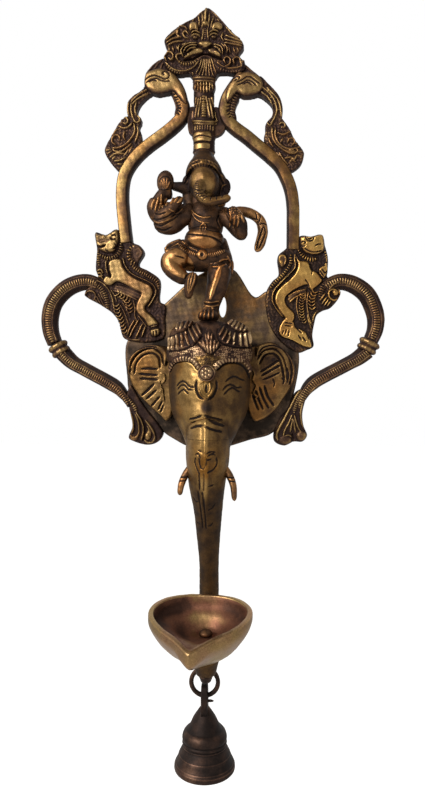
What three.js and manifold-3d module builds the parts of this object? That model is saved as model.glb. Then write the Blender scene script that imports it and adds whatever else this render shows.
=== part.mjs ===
// Hanging oil lamp of cast brass: an openwork frame with a dancing figure, an elephant head whose
// trunk carries an oil bowl, and a bell on a ring below it. Millimetres. X runs to the viewer's
// right, Z up, the wall is the plane Y = 0 and the lamp stands out from it towards -Y.
// The origin is the middle of the back plate's rear face.

import * as THREE from 'three';
import { mergeVertices } from 'three/addons/utils/BufferGeometryUtils.js';
import Module from 'manifold-3d';

const wasm = await Module();
wasm.setup();

// Clearances
const SEAM = 0.3; // left between pieces that are brazed or screwed face to face
const EDGE = 1.1; // softened edge of a cast relief

// Frame
const FRAME_DEPTH = 7; // front of the bands and ornaments
const PLATE_DEPTH = 4; // front of the back plate
const BAND_WIDTH = 7.4; // arch bands
const ARCH_FOOT = 98; // height at which the arch bands stand on the lions
const ARCH_HEIGHT = 107;
const ARCH_WIDTH = 107.2; // across the feet of the bands
const CREST_WIDTH = 50;
const CREST_HEIGHT = 46;
const CREST_X = -3.5;
const STAFF_WIDTH = 13;
const STAFF_X = -2.7;
const BIRD_WIDTH = 18;
const DROP_WIDTH = 23.4; // leaf drops under the beaks
const DROP_HEIGHT = 35.6;
const LION_HEIGHT = 70;
const LION_WIDTH = 51;
const LION_REACH = 78.8; // from the middle out to the lion's back
const LOOP_WIDTH = 10; // band of the side loops
const LOOP_HEIGHT = 40; // middle of the band, from the collar to the top
const LOOP_FOOT = 36;
const LOOP_REACH = 33; // from the lion out to the middle of the band
const LOOP_ARM_WIDTH = 8;
const LEAF_FOOT_WIDTH = 21.5;
const LEAF_FOOT_HEIGHT = 38;
const LEAF_FOOT_TOP = 9.5;
const PLATE_WIDTH = 108.5;
const PLATE_HEIGHT = 115;
const PLATE_TOP = 82.4;

// Elephant head and trunk
const HEAD_X = 1.4;
const HEAD_WIDTH = 49;
const HEAD_DEPTH = 35; // from the plate to the forehead
const HEAD_SHELL = 4;
const EAR_DEPTH = 6;
const EAR_WIDTH = 30.5;
const EAR_HEIGHT = 46.7;
const EAR_INSET = 3.1; // how far the ears are let into the sides of the head
const HEAD_SCREW_WIDTH = 3.6;
const HEAD_SCREW_HEAD = 8;
const HEAD_BOSS_WIDTH = 10;
const HEAD_BOSS_REACH = 17;
const TRUNK_ROOT = 25; // width where the trunk leaves the head
const TRUNK_END = 11.6; // width behind the bowl
const TUSK_WIDTH = 4.2;
const JEWEL_WIDTH = 10;

// Figure
const FIGURE_X = -2.7;
const FIGURE_FOOT = 47; // height of the sole of the standing foot
const FIGURE_HEIGHT = 103; // from that sole to the top of the crown

// Bowl
const BOWL_WIDTH = 57;
const BOWL_LENGTH = 61;
const BOWL_BACK = 34; // from the wall to the back of the rim
const BOWL_RIM = -111.6;
const BOWL_DEPTH = 30.5; // from the back of the rim to the foot
const BOWL_WALL = 3;
const BOWL_FLOOR = 12.5;
const BOWL_FOOT_WIDTH = 16;
const BOLT_X = 1.7;
const BOLT_STAND = 50; // from the wall to the bolt
const BOLT_WIDTH = 3.6;
const BOLT_HEAD_WIDTH = 7.8;
const BOLT_HEAD_HEIGHT = 3;
const BOLT_FIT = 0.35; // between the bolt and its holes, all round
const BOSS_HEIGHT = 9;
const BOSS_END = 10.8;
const NUT_WIDTH = 8;
const NUT_HEIGHT = 3.4;

// Ring and bell
const RING_X = 0.2;
const RING_STAND = 40; // from the wall to the ring's plane
const RING_DROP = 9.95; // from the top of the boss to the middle of the wire at its highest
const RING_WIDTH = 15.3; // across the middle of the wire
const RING_WIRE = 2.8;
const EYE_HOLE = 5.2;
const RING_FIT = 0.6; // between the wire and the holes that it hangs in and carries
const EYE_WIDTH = 9;
const EYE_THICKNESS = 4;
const LUG_DROP = 4.6; // brass under the lug's hole
const BELL_WIDTH = 34.8;
const BELL_HEIGHT = 34.8;
const BELL_WALL = 2;
const BELL_EYE_DROP = 6; // from the middle of the eye's hole to the crown of the bell
const CLAPPER_LENGTH = 19;
const CLAPPER_BALL = 7.4;
const STAPLE_WIRE = 1.6;
const STAPLE_WIDTH = 5.4;

const brass = { color: 0x8f6f3c, roughness: 0.38, metalness: 1 };
const reddish = { color: 0x80552f, roughness: 0.42, metalness: 1 };
const darkened = { color: 0x3d322c, roughness: 0.5, metalness: 1 };
const steel = { color: 0x6d6a66, roughness: 0.4, metalness: 1 };

const lamp = new THREE.Group();

// Solids

function solidOf(geometry) {
  const bare = geometry.index ? geometry.toNonIndexed() : geometry.clone();
  bare.deleteAttribute('normal');
  bare.deleteAttribute('uv');
  const merged = mergeVertices(bare, 1e-4);
  const vertProperties = new Float32Array(merged.attributes.position.array);
  const triVerts = new Uint32Array(merged.index.array);
  return new wasm.Manifold(new wasm.Mesh({ numProp: 3, vertProperties, triVerts }));
}

function geometryOf(solid) {
  const mesh = solid.getMesh();
  const geometry = new THREE.BufferGeometry();
  geometry.setAttribute('position', new THREE.BufferAttribute(mesh.vertProperties, 3));
  geometry.setIndex(new THREE.BufferAttribute(mesh.triVerts, 1));
  return geometry;
}

function place(name, form, finish) {
  const mesh = new THREE.Mesh(geometryOf(form(0)), new THREE.MeshStandardMaterial(finish));
  mesh.name = name;
  lamp.add(mesh);
}

// A form is a function that gives the solid, grown on every side by the distance asked for.
// The grown solid is what a neighbour is cut by, so that a seam is left between the two.

const join = (...forms) => (grow) => forms.map((form) => form(grow)).reduce((a, b) => a.add(b));
const cut = (form, ...tools) => (grow) => tools.reduce((a, tool) => a.subtract(tool(0)), form(grow));

// A piece seated on its neighbours is cut by them, and the loose slivers of such a cut are dropped.
// Grown, as a tool for the next piece, it is left uncut.
const whole = (solid) => solid.decompose().reduce((a, b) => (b.volume() > a.volume() ? b : a));
const seat = (form, ...neighbours) => (grow) =>
  grow > 0 ? form(grow) : whole(neighbours.reduce((a, other) => a.subtract(other(SEAM)), form(0)));

function ball(at, size, across = 8, down = 6) {
  return (grow) => {
    const geometry = new THREE.SphereGeometry(1, across, down);
    geometry.rotateX(Math.PI / 2);
    geometry.scale(size[0] / 2 + grow, size[1] / 2 + grow, size[2] / 2 + grow);
    geometry.translate(...at);
    return solidOf(geometry);
  };
}

function block(low, high) {
  return (grow) => {
    const size = low.map((edge, i) => high[i] - edge + 2 * grow);
    const geometry = new THREE.BoxGeometry(...size);
    geometry.translate(...low.map((edge, i) => (edge + high[i]) / 2));
    return solidOf(geometry);
  };
}

// A turned piece: stations are [radius, height], on an axis at x, y.
function turned(x, y, stations, sides = 24, flatten = 1) {
  return (grow) => {
    const upward = stations[0][1] < stations[stations.length - 1][1];
    const rising = upward ? stations : [...stations].reverse();
    const profile = rising.map(([r, z]) => new THREE.Vector2(r + grow, z));
    profile[0].y -= grow;
    profile[profile.length - 1].y += grow;
    profile.unshift(new THREE.Vector2(0, profile[0].y));
    profile.push(new THREE.Vector2(0, profile[profile.length - 1].y));
    const geometry = new THREE.LatheGeometry(profile, sides);
    geometry.rotateX(Math.PI / 2);
    geometry.scale(1, flatten, 1);
    geometry.translate(x, y, 0);
    return solidOf(geometry);
  };
}

// A smooth closed outline drawn in the X-Z plane.
function outline(spots, count) {
  const loop = new THREE.CatmullRomCurve3(
    spots.map(([x, z]) => new THREE.Vector3(x, z, 0)),
    true,
    'centripetal',
  );
  return loop.getPoints(count).slice(0, -1).map((p) => new THREE.Vector2(p.x, p.y));
}

// A cast relief: the outline carried from the depth back to the depth front, with a soft front edge.
function relief(points, back, front, edge = EDGE) {
  return (grow) => {
    const geometry = new THREE.ExtrudeGeometry(new THREE.Shape(points), {
      depth: front - back - 2 * edge + 2 * grow,
      bevelThickness: edge,
      bevelSize: edge,
      bevelOffset: grow - edge,
      bevelSegments: 1,
    });
    geometry.rotateX(Math.PI / 2);
    geometry.translate(0, -back - edge + grow, 0);
    return solidOf(geometry);
  };
}

const behind = (depth) => block([-150, -depth, -250], [150, 60, 300]);
const flatBack = (form, depth = 0) => cut(form, behind(depth));

// The two sides of a band that follows a centre line, as one closed outline.
function bandOutline(spots, widthAt, count) {
  const line = new THREE.SplineCurve(spots.map(([x, z]) => new THREE.Vector2(x, z)));
  const left = [];
  const right = [];
  for (let i = 0; i <= count; i++) {
    const along = i / count;
    const p = line.getPoint(along);
    const t = line.getTangent(along);
    const half = widthAt(along) / 2;
    left.push(new THREE.Vector2(p.x - t.y * half, p.y + t.x * half));
    right.unshift(new THREE.Vector2(p.x + t.y * half, p.y - t.x * half));
  }
  return [...left, ...right];
}

// A rounded limb through stations [x, y, z, width, depth]; side is the direction that width lies in
// where the limb allows it.
function limb(stations, side, sides = 6, steps = 2) {
  return (grow) => {
    const line = new THREE.CatmullRomCurve3(
      stations.map(([x, y, z]) => new THREE.Vector3(x, y, z)),
      false,
      'centripetal',
    );
    const sizes = new THREE.CatmullRomCurve3(
      stations.map((s) => new THREE.Vector3(s[3] / 2, (s[4] ?? s[3]) / 2, 0)),
      false,
      'catmullrom',
      0.3,
    );
    const rings = (stations.length - 1) * steps;
    const positions = [];
    const faces = [];
    for (let i = 0; i <= rings; i++) {
      const along = i / rings;
      const p = line.getPoint(along);
      const ahead = line.getTangent(along);
      if (i === 0) p.addScaledVector(ahead, -grow);
      if (i === rings) p.addScaledVector(ahead, grow);
      const up = new THREE.Vector3().crossVectors(ahead, new THREE.Vector3(...side)).normalize();
      const across = new THREE.Vector3().crossVectors(up, ahead).normalize();
      const size = sizes.getPoint(along);
      for (let k = 0; k < sides; k++) {
        const turn = (2 * Math.PI * k) / sides;
        const spot = p
          .clone()
          .addScaledVector(across, (size.x + grow) * Math.cos(turn))
          .addScaledVector(up, (size.y + grow) * Math.sin(turn));
        positions.push(spot.x, spot.y, spot.z);
      }
    }
    for (let i = 0; i < rings; i++) {
      for (let k = 0; k < sides; k++) {
        const a = i * sides + k;
        const b = i * sides + ((k + 1) % sides);
        faces.push(a, b, a + sides, b, b + sides, a + sides);
      }
    }
    for (let k = 1; k < sides - 1; k++) {
      faces.push(0, k + 1, k);
      const last = rings * sides;
      faces.push(last, last + k, last + k + 1);
    }
    const geometry = new THREE.BufferGeometry();
    geometry.setAttribute('position', new THREE.BufferAttribute(new Float32Array(positions), 3));
    geometry.setIndex(faces);
    return solidOf(geometry);
  };
}

// A ring of wire in the X-Z plane, or in the Y-Z plane when turned.
function wireRing(x, y, z, width, wire, turnedRing = false, around = 24, sides = 6) {
  return (grow) => {
    const geometry = new THREE.TorusGeometry(width / 2, wire / 2 + grow, sides, around);
    if (turnedRing) geometry.rotateY(Math.PI / 2);
    else geometry.rotateX(Math.PI / 2);
    geometry.translate(x, y, z);
    return solidOf(geometry);
  };
}

// Moves and stretches a drawing so that it fills the box that it is given.
function fit(spots, left, bottom, width, height) {
  const xs = spots.map((s) => s[0]);
  const zs = spots.map((s) => s[1]);
  const [x0, x1] = [Math.min(...xs), Math.max(...xs)];
  const [z0, z1] = [Math.min(...zs), Math.max(...zs)];
  const across = width / (x1 - x0);
  const upward = height / (z1 - z0);
  return spots.map(([x, z]) => [left + (x - x0) * across, bottom + (z - z0) * upward]);
}

// Crest: a lion mask under a pointed mane

const archTop = ARCH_FOOT + ARCH_HEIGHT;
const crownTop = FIGURE_FOOT + FIGURE_HEIGHT;
const crestBase = archTop - 6.4;
const faceX = CREST_X + 0.5;
const faceZ = crestBase + CREST_HEIGHT * 0.48;
const faceY = -FRAME_DEPTH;
const crestSpots = fit(
  [
    [-0.9, 244.4], [3.4, 241.6], [21.4, 220.7], [18.3, 214.2], [21.4, 209.6], [19.5, 202.8],
    [14, 198.6], [4.7, 200.2], [-9.6, 200.2], [-18.4, 199.6], [-25.3, 204.3], [-28.4, 211.8],
    [-26, 218], [-27.1, 225.4], [-17.7, 234.5], [-9.6, 237.9],
  ],
  CREST_X - CREST_WIDTH / 2,
  crestBase,
  CREST_WIDTH,
  CREST_HEIGHT,
);
const crestFeatures = [1, -1].flatMap((side) => [
  ball([faceX + side * 6, faceY - 0.5, faceZ + 7], [7, 5, 6]),
  ball([faceX + side * 6.6, faceY - 0.8, faceZ + 11.2], [9, 4.5, 3.4], 8, 6),
  ball([faceX + side * 6.4, faceY, faceZ - 3.4], [11, 6, 9]),
  ball([faceX + side * 15, faceY + 0.6, faceZ + 1], [9, 5, 16], 8, 6),
  ball([faceX + side * 13, faceY + 0.6, faceZ - 12.5], [12, 5, 8], 8, 6),
]);
const crest = join(
  relief(outline(crestSpots, 26), 0, FRAME_DEPTH),
  ball([faceX, faceY - 1.2, faceZ + 0.6], [9.5, 6.5, 7]),
  ball([faceX, faceY + 0.2, faceZ + 16.5], [7, 4.5, 11], 8, 6),
  ball([faceX, faceY + 0.4, faceZ - 13], [7, 5, 14], 8, 6),
  ...crestFeatures,
);

// Bird heads with their beaks, and the leaf drops that hang from the beaks

const leftHeadAt = [STAFF_X - 30.4, -4, archTop - 5.4];
const rightHeadAt = [STAFF_X + 28.9, -4, archTop - 8.6];

function birdHead([x, y, z], side) {
  const beak = [
    [x + side * 3, y, z - 1, 12, 9],
    [x + side * 9, y, z - 6, 8, 7.4],
    [x + side * 14, y, z - 11.4, 5.6, 6.4],
    [x + side * 15, y, z - 17.6, 5, 6],
    [x + side * 12.4, y, z - 22.6, 3, 5],
  ];
  return join(
    ball([x, y, z], [BIRD_WIDTH, 2 * FRAME_DEPTH - 5, BIRD_WIDTH * 0.9], 12, 8),
    ball([x + side * 0.6, y - 4, z + 0.6], [7.4, 3.4, 4.4]),
    limb(beak, [0, 1, 0]),
  );
}

const leftHead = seat(birdHead(leftHeadAt, -1), crest);
const rightHead = seat(birdHead(rightHeadAt, 1), crest);

// Rolls of a leaf: stations are [x, z, width].
function leafRoll(rib, y, depth) {
  const stations = rib.map(([x, z, width]) => [x, y, z, width, depth]);
  return limb(stations, [0, 1, 0], 5, 1);
}

function leafDrop(spots, ribs) {
  const rolls = ribs.map((rib) => leafRoll(rib, 1.6 - FRAME_DEPTH, 3));
  return join(relief(outline(spots, 24), 0, FRAME_DEPTH - 1.4), ...rolls);
}

const leftDrop = seat(
  leafDrop(
    fit(
      [
        [-50.6, 180], [-55.8, 175.7], [-60.7, 168.1], [-66, 158.1], [-65.1, 154.2], [-60.7, 147.9],
        [-56.3, 144.4], [-42.6, 161], [-42.7, 167.2], [-43.9, 171.5], [-42.6, 174.6], [-45, 176.4],
      ],
      leftHeadAt[0] - 9.5 - DROP_WIDTH,
      leftHeadAt[2] - 19.6 - DROP_HEIGHT,
      DROP_WIDTH,
      DROP_HEIGHT,
    ),
    [
      [[-46, 172, 3], [-51, 168, 4], [-60, 157, 3.4], [-62, 151, 2]],
      [[-45, 166, 3], [-50, 162, 4], [-55, 154, 3], [-57, 148, 2]],
    ],
  ),
  leftHead,
);
const rightDrop = seat(
  leafDrop(
    fit(
      [
        [44.6, 176.2], [49.7, 168.8], [53, 161.9], [58.8, 153.7], [59, 151.3], [56.5, 145.2],
        [48.5, 141.4], [34.3, 161.8], [35, 166.1], [35.2, 171], [38, 174.7],
      ],
      rightHeadAt[0] + 8,
      rightHeadAt[2] - 20.1 - DROP_HEIGHT * 0.978,
      DROP_WIDTH * 1.056,
      DROP_HEIGHT * 0.978,
    ),
    [
      [[40, 170, 3], [44, 166, 4], [53, 155, 3.4], [55, 149, 2]],
      [[38, 165, 3], [43, 159, 4], [48, 151, 3], [50, 146, 2]],
    ],
  ),
  rightHead,
);

// Lions

const lionTop = ARCH_FOOT + 9.6;
const leftLionSpots = fit(
  [
    [-72, 105.8], [-65.2, 104.3], [-58.4, 107.7], [-48.3, 99.3], [-43.1, 96.6], [-40.8, 92.4],
    [-44.3, 84.8], [-38.2, 81.2], [-31.5, 76.3], [-30.6, 72.7], [-30.9, 61.9], [-27.3, 59.4],
    [-27.4, 50.1], [-28.7, 38.3], [-53.3, 38.4], [-57.1, 49.1], [-61, 54.5], [-68.7, 59.9],
    [-78.8, 66.1], [-78.3, 69.1], [-70.2, 77.4], [-71.8, 82], [-71.1, 95.1],
  ],
  -LION_REACH,
  lionTop - LION_HEIGHT,
  LION_WIDTH,
  LION_HEIGHT,
);
const rightLionSpots = fit(
  [
    [57, 101.8], [63.2, 101.4], [69.8, 102.3], [72, 95.3], [73.7, 87.7], [73.5, 79], [73.2, 76.5],
    [81.3, 67.6], [80, 62.6], [75.1, 57], [70.7, 55.5], [66.9, 52.7], [65.4, 47.6], [64.2, 40.1],
    [64.8, 33.2], [60.7, 31], [55.4, 29.4], [43.6, 37.2], [36.8, 49.6], [35.6, 66.8], [39.4, 73.7],
    [43.2, 77.4], [42.5, 87.5], [43.5, 90.4], [46.7, 93],
  ],
  LION_REACH + 2.5 - LION_WIDTH * 0.896,
  lionTop - 5.4 - LION_HEIGHT * 1.04,
  LION_WIDTH * 0.896,
  LION_HEIGHT * 1.04,
);

// side is 1 for the lion whose muzzle points to +X
function lion(spots, [x, z], side) {
  const y = 1 - FRAME_DEPTH;
  return join(
    relief(outline(spots, 32), 0, FRAME_DEPTH - 1.2),
    ball([x, y, z], [15, 8, 13]),
    ball([x + side * 6, y, z - 1], [9, 7, 7]),
    limb(
      [
        [x - side * 1, y, z - 5, 10, 6],
        [x - side * 4, y, z - 18, 14, 7],
        [x - side * 15, y, z - 34, 15, 7],
        [x - side * 22, y, z - 45, 12, 6],
      ],
      [0, 1, 0],
    ),
    limb(
      [
        [x + side * 3, y, z - 13, 7, 6],
        [x + side * 5, y, z - 24, 6, 5],
        [x + side * 9, y, z - 33, 6, 5],
      ],
      [0, 1, 0],
    ),
    limb(
      [
        [x - side * 21, y, z - 43, 13, 6],
        [x - side * 9, y, z - 49, 8, 6],
        [x - side * 17, y, z - 59, 6.5, 5],
        [x - side * 9, y, z - 64, 6, 5],
      ],
      [0, 1, 0],
    ),
  );
}

const leftLion = lion(leftLionSpots, [13.8 - LION_REACH, lionTop - 10], -1);
const rightLion = lion(rightLionSpots, [LION_REACH - 14.8, lionTop - 14], 1);

// Arch bands, the long necks of the birds

const leftNeck = fit(
  [
    [-26.8, 204.6], [-21.1, 196.3], [-18, 189.3], [-15.8, 183.6], [-17, 177.7], [-21.8, 172.3],
    [-28.7, 166.8], [-36.9, 161.1], [-43.6, 155.6], [-48.9, 149.7], [-52.8, 143.2], [-54.4, 137],
    [-54.9, 126.9], [-53.4, 109.3], [-52.1, 98.6],
  ],
  STAFF_X - 0.487 * ARCH_WIDTH,
  ARCH_FOOT,
  0.487 * ARCH_WIDTH - STAFF_WIDTH,
  ARCH_HEIGHT,
);
const rightNeck = fit(
  [
    [21.3, 203.1], [15.1, 195.2], [11.1, 188.5], [9.5, 181], [11.4, 174.8], [16.4, 169.7],
    [23.2, 164.5], [30.6, 158.1], [38, 151.8], [44.2, 145.4], [48.5, 137.3], [51, 129.8],
    [52.2, 120.6], [52.3, 111.3], [52.2, 92],
  ],
  STAFF_X + STAFF_WIDTH - 0.8,
  ARCH_FOOT - 6,
  0.513 * ARCH_WIDTH - STAFF_WIDTH + 0.8,
  ARCH_HEIGHT + 4,
);

function archBand(spots) {
  return relief(bandOutline(spots, () => BAND_WIDTH, 20), 0, FRAME_DEPTH - 0.6, 1.6);
}

const leftBand = seat(archBand(leftNeck), leftHead, leftLion, leftDrop, crest);
const rightBand = seat(archBand(rightNeck), rightHead, rightLion, rightDrop, crest);

// Centre staff, with the webs that tie it to the arch

const staffTop = crestBase + 2;
const staff = seat(
  join(
    turned(
      STAFF_X,
      -3,
      [
        [6, crownTop + SEAM], [5.4, crownTop + 3.6], [6.9, crownTop + 5], [5.9, crownTop + 6.6],
        [5.9, crownTop + 12], [7.4, crownTop + 13.4], [7.4, crownTop + 15], [6.2, crownTop + 16.6],
        [6.2, crownTop + 31], [5.5, crownTop + 34], [6.5, crownTop + 36], [6.5, crownTop + 44],
        [7.2, crownTop + 45], [7.2, staffTop],
      ].map(([r, z]) => [(r * STAFF_WIDTH) / 13, z]),
      10,
      0.8,
    ),
    block([STAFF_X - 14, -4.4, crownTop + 18], [STAFF_X + 14, 0, crownTop + 31]),
  ),
  leftBand,
  rightBand,
  crest,
);

// Side loops, each with a collar, an arm and a leaf foot

const leftLeafSpots = fit(
  [
    [-51.9, 3], [-49.4, -8.8], [-48.3, -16.4], [-50.7, -24], [-47.1, -26.3], [-37.9, -28.3],
    [-32.5, -26.2], [-30.2, -20.9], [-33.3, -16.3], [-39.4, -8.8], [-44, 0.3], [-49.4, 9.5],
  ],
  -51.9,
  LEAF_FOOT_TOP - LEAF_FOOT_HEIGHT,
  LEAF_FOOT_WIDTH,
  LEAF_FOOT_HEIGHT,
);
const rightLeafSpots = fit(
  [
    [67.5, 8.1], [60.2, -0.9], [58, -8.4], [58.7, -15.9], [60.9, -21.8], [58, -25.6], [52.7, -25.7],
    [46.8, -28.2], [40.8, -25.7], [40.1, -21.2], [43.8, -11.4], [49.7, -3.9], [54.2, 6.5], [60, 9],
  ],
  39.6,
  LEAF_FOOT_TOP - LEAF_FOOT_HEIGHT,
  LEAF_FOOT_WIDTH * 1.28,
  LEAF_FOOT_HEIGHT,
);

function leafFoot(spots, ribs) {
  const rolls = ribs.map((rib) => leafRoll(rib, 1.4 - FRAME_DEPTH, 3.4));
  return join(relief(outline(spots, 22), 0, FRAME_DEPTH - 1), ...rolls);
}

const leftLeaf = leafFoot(leftLeafSpots, [
  [[-47.5, 2, 3], [-45.5, -9, 4], [-44.5, -18, 4], [-47, -24, 3]],
  [[-45, -4, 3], [-41, -12, 4], [-38, -19, 4], [-40, -25.6, 3]],
]);
const rightLeaf = leafFoot(rightLeafSpots, [
  [[58, 2, 3], [54.5, -8, 4], [55, -17, 4], [57, -23, 3]],
  [[54, -2, 3], [49, -10, 4], [46.5, -18, 4], [47, -25.4, 3]],
]);

const loopStart = LION_REACH - 9.3;
const leftLoopSpots = fit(
  [[-69.5, 76], [-81.5, 73.8], [-91.5, 70.4], [-99.2, 61.9], [-101.8, 52.4], [-101.2, 42.9], [-98.6, 35.6]],
  -loopStart - LOOP_REACH,
  LOOP_FOOT,
  LOOP_REACH,
  LOOP_HEIGHT,
);
const rightLoopSpots = fit(
  [[71, 71], [79.7, 73.4], [88.2, 72], [97, 65.8], [101.5, 57.2], [103.1, 50.4], [102.5, 43.1], [99.6, 36]],
  loopStart + 0.6,
  LOOP_FOOT,
  LOOP_REACH,
  LOOP_HEIGHT - 1,
);
const leftArmSpots = [[-95.9, 31.2], [-87.4, 24.7], [-74.3, 18.2], [-61.3, 13.1], [-50, 7.5]];
const rightArmSpots = [[97.6, 31.2], [88.1, 24.3], [75.7, 17.5], [62, 11.3], [51, 6]];

function sideLoop(spots) {
  const narrow = (along) => LOOP_WIDTH * (0.86 + 0.2 * Math.sin(Math.PI * along));
  const ridge = spots.map(([x, z]) => [x, 1.6 - FRAME_DEPTH, z, 2.8, 3.6]);
  return join(
    relief(bandOutline(spots, narrow, 18), 0, FRAME_DEPTH - 1.2, 1.4),
    limb(ridge, [0, 1, 0], 5, 2),
  );
}

function loopCollar([x, z], lean) {
  const stations = [[4.6, -2.6], [5.4, -1.6], [4.9, 0], [5.4, 1.6], [4.6, 2.6]];
  return (grow) => turned(0, 0, stations, 10, 0.82)(grow).rotate([0, lean, 0]).translate([x, -3.6, z]);
}

const leftCollar = loopCollar([-97, 33.8], 24);
const rightCollar = loopCollar([98.9, 33.8], -24);
const leftLoop = seat(sideLoop(leftLoopSpots), leftLion, leftCollar);
const rightLoop = seat(sideLoop(rightLoopSpots), rightLion, rightCollar);

function loopArm(spots) {
  return relief(bandOutline(spots, () => LOOP_ARM_WIDTH, 8), 0, FRAME_DEPTH - 1, 1.5);
}

const leftArmBar = seat(loopArm(leftArmSpots), leftCollar, leftLeaf);
const rightArmBar = seat(loopArm(rightArmSpots), rightCollar, rightLeaf);

// A round bar square to the wall, reaching from one distance off the wall to another.
function peg(x, z, width, from, to, sides = 10) {
  return (grow) => {
    const radius = width / 2 + grow;
    const geometry = new THREE.CylinderGeometry(radius, radius, to - from + 2 * grow, sides);
    geometry.translate(x, -(to + from) / 2, z);
    return solidOf(geometry);
  };
}

// An upright round bar.
function post(x, y, width, low, high, sides = 12) {
  return turned(x, y, [[width / 2, low], [width / 2, high]], sides);
}

// A flat tongue in the Y-Z plane with a hole across it, as on an eye or a lug.
function tongue(x, thickness, points, hole, holeWidth) {
  return (grow) => {
    const shape = new THREE.Shape(points.map(([y, z]) => new THREE.Vector2(y, z)));
    const open = new THREE.Path();
    open.absarc(hole[0], hole[1], holeWidth / 2 - grow, 0, 2 * Math.PI);
    shape.holes.push(open);
    const geometry = new THREE.ExtrudeGeometry(shape, {
      depth: thickness + 2 * grow,
      bevelEnabled: false,
      curveSegments: 14,
    });
    const axes = [new THREE.Vector3(0, 1, 0), new THREE.Vector3(0, 0, 1), new THREE.Vector3(1, 0, 0)];
    geometry.applyMatrix4(new THREE.Matrix4().makeBasis(...axes));
    geometry.translate(x - thickness / 2 - grow, 0, 0);
    return solidOf(geometry);
  };
}

// Elephant head: a hollow casting, open at the back, with two bosses for its screws

const headBack = PLATE_DEPTH + SEAM;
const headScrewZ = [27, -9];
const wide = HEAD_WIDTH;
const deep = HEAD_DEPTH + headBack;
const skull = limb(
  [
    [HEAD_X, -18, 37, wide * 0.84, deep * 0.86],
    [HEAD_X, -19, 29, wide * 0.98, deep * 1.06],
    [HEAD_X, -19.5, 18, wide, deep * 1.1],
    [HEAD_X, -20, 7, wide * 0.94, deep * 1.1],
    [HEAD_X, -20.6, -3, wide * 0.82, deep * 1.05],
    [HEAD_X, -23, -13, wide * 0.66, deep * 0.93],
    [HEAD_X, -26.5, -23, wide * 0.53, deep * 0.76],
  ],
  [1, 0, 0],
  16,
  1,
);
const headBosses = headScrewZ.map((z) => peg(HEAD_X, z, HEAD_BOSS_WIDTH, 0, deep));
const headBoreWidth = HEAD_SCREW_WIDTH + 2 * BOLT_FIT;
const headBores = headScrewZ.map((z) => peg(HEAD_X, z, headBoreWidth, 0, HEAD_BOSS_REACH - 1));
const hollow = (grow) => headBosses.reduce((a, boss) => a.subtract(boss(0)), skull(grow - HEAD_SHELL));
const elephantHead = cut(skull, behind(headBack), hollow, ...headBores);
const headScrews = headScrewZ.map((z) =>
  join(
    peg(HEAD_X, z, HEAD_SCREW_HEAD, 0, 2.1),
    peg(HEAD_X, z, HEAD_SCREW_WIDTH, 1, HEAD_BOSS_REACH - 2),
  ),
);

// Headdress over the brow, with its three scalloped domes

const browZ = 24.6;
const headdress = seat(
  cut(
    join(
      limb(
        [
          [HEAD_X, -19, browZ, wide * 1.06, deep * 1.16],
          [HEAD_X, -19, browZ + 7, wide * 1.06, deep * 1.16],
          [HEAD_X, -19, browZ + 9, wide * 0.97, deep * 1.04],
          [HEAD_X, -18, browZ + 16, wide * 0.8, deep * 0.86],
          [HEAD_X, -17, browZ + 22.5, wide * 0.42, deep * 0.5],
        ],
        [1, 0, 0],
        16,
        1,
      ),
      ball([HEAD_X, -28, browZ + 14], [22, 20, 20], 8, 6),
      ball([HEAD_X - wide * 0.286, -22, browZ + 12], [20, 23, 20], 8, 6),
      ball([HEAD_X + wide * 0.286, -22, browZ + 12], [20, 23, 20], 8, 6),
    ),
    behind(headBack),
    block([-60, -60, browZ - 30], [60, 10, browZ]),
  ),
  skull,
);

const browY = -19.5 - deep * 0.55;
const foreheadJewel = seat(ball([HEAD_X, browY, 16.4], [JEWEL_WIDTH, 6, JEWEL_WIDTH], 10, 6), skull);
const dropJewel = seat(ball([HEAD_X, browY - 0.2, 7], [8, 5.4, 9.6], 10, 6), skull, foreheadJewel);

// Ears, cast leaves with a rolled rim

const leftEarSpots = fit(
  [
    [-20, 30.2], [-27, 33.5], [-38.4, 34.1], [-48.4, 27.4], [-50.5, 18.7], [-47.5, 8.2],
    [-38.4, -2.3], [-27, -12.6], [-20, -8],
  ],
  HEAD_X - HEAD_WIDTH / 2 + EAR_INSET - EAR_WIDTH,
  -12.6,
  EAR_WIDTH,
  EAR_HEIGHT,
);
const rightEarSpots = fit(
  [
    [21, 31], [28.2, 33.3], [39.2, 35.7], [48, 29.5], [53.1, 21.6], [53.1, 12.5], [48, 3.7],
    [39.2, -8.2], [31, -12.4], [22, -8],
  ],
  HEAD_X + HEAD_WIDTH / 2 - EAR_INSET - 1.8,
  -12.4,
  EAR_WIDTH * 1.052,
  EAR_HEIGHT * 1.03,
);

function ear(spots, neighbours) {
  const rim = spots
    .slice(1, -1)
    .map(([x, z]) => [HEAD_X + (x - HEAD_X) * 0.955, 0.9 - headBack - EAR_DEPTH, 12 + (z - 12) * 0.945, 3.4]);
  return seat(
    join(relief(outline(spots, 26), headBack, headBack + EAR_DEPTH), limb(rim, [0, 1, 0], 5, 1)),
    skull,
    headdress,
    ...neighbours,
  );
}

const leftEar = ear(leftEarSpots, [leftLion, leftArmBar]);
const rightEar = ear(rightEarSpots, [rightLion, rightArmBar]);

// Back plate

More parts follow.
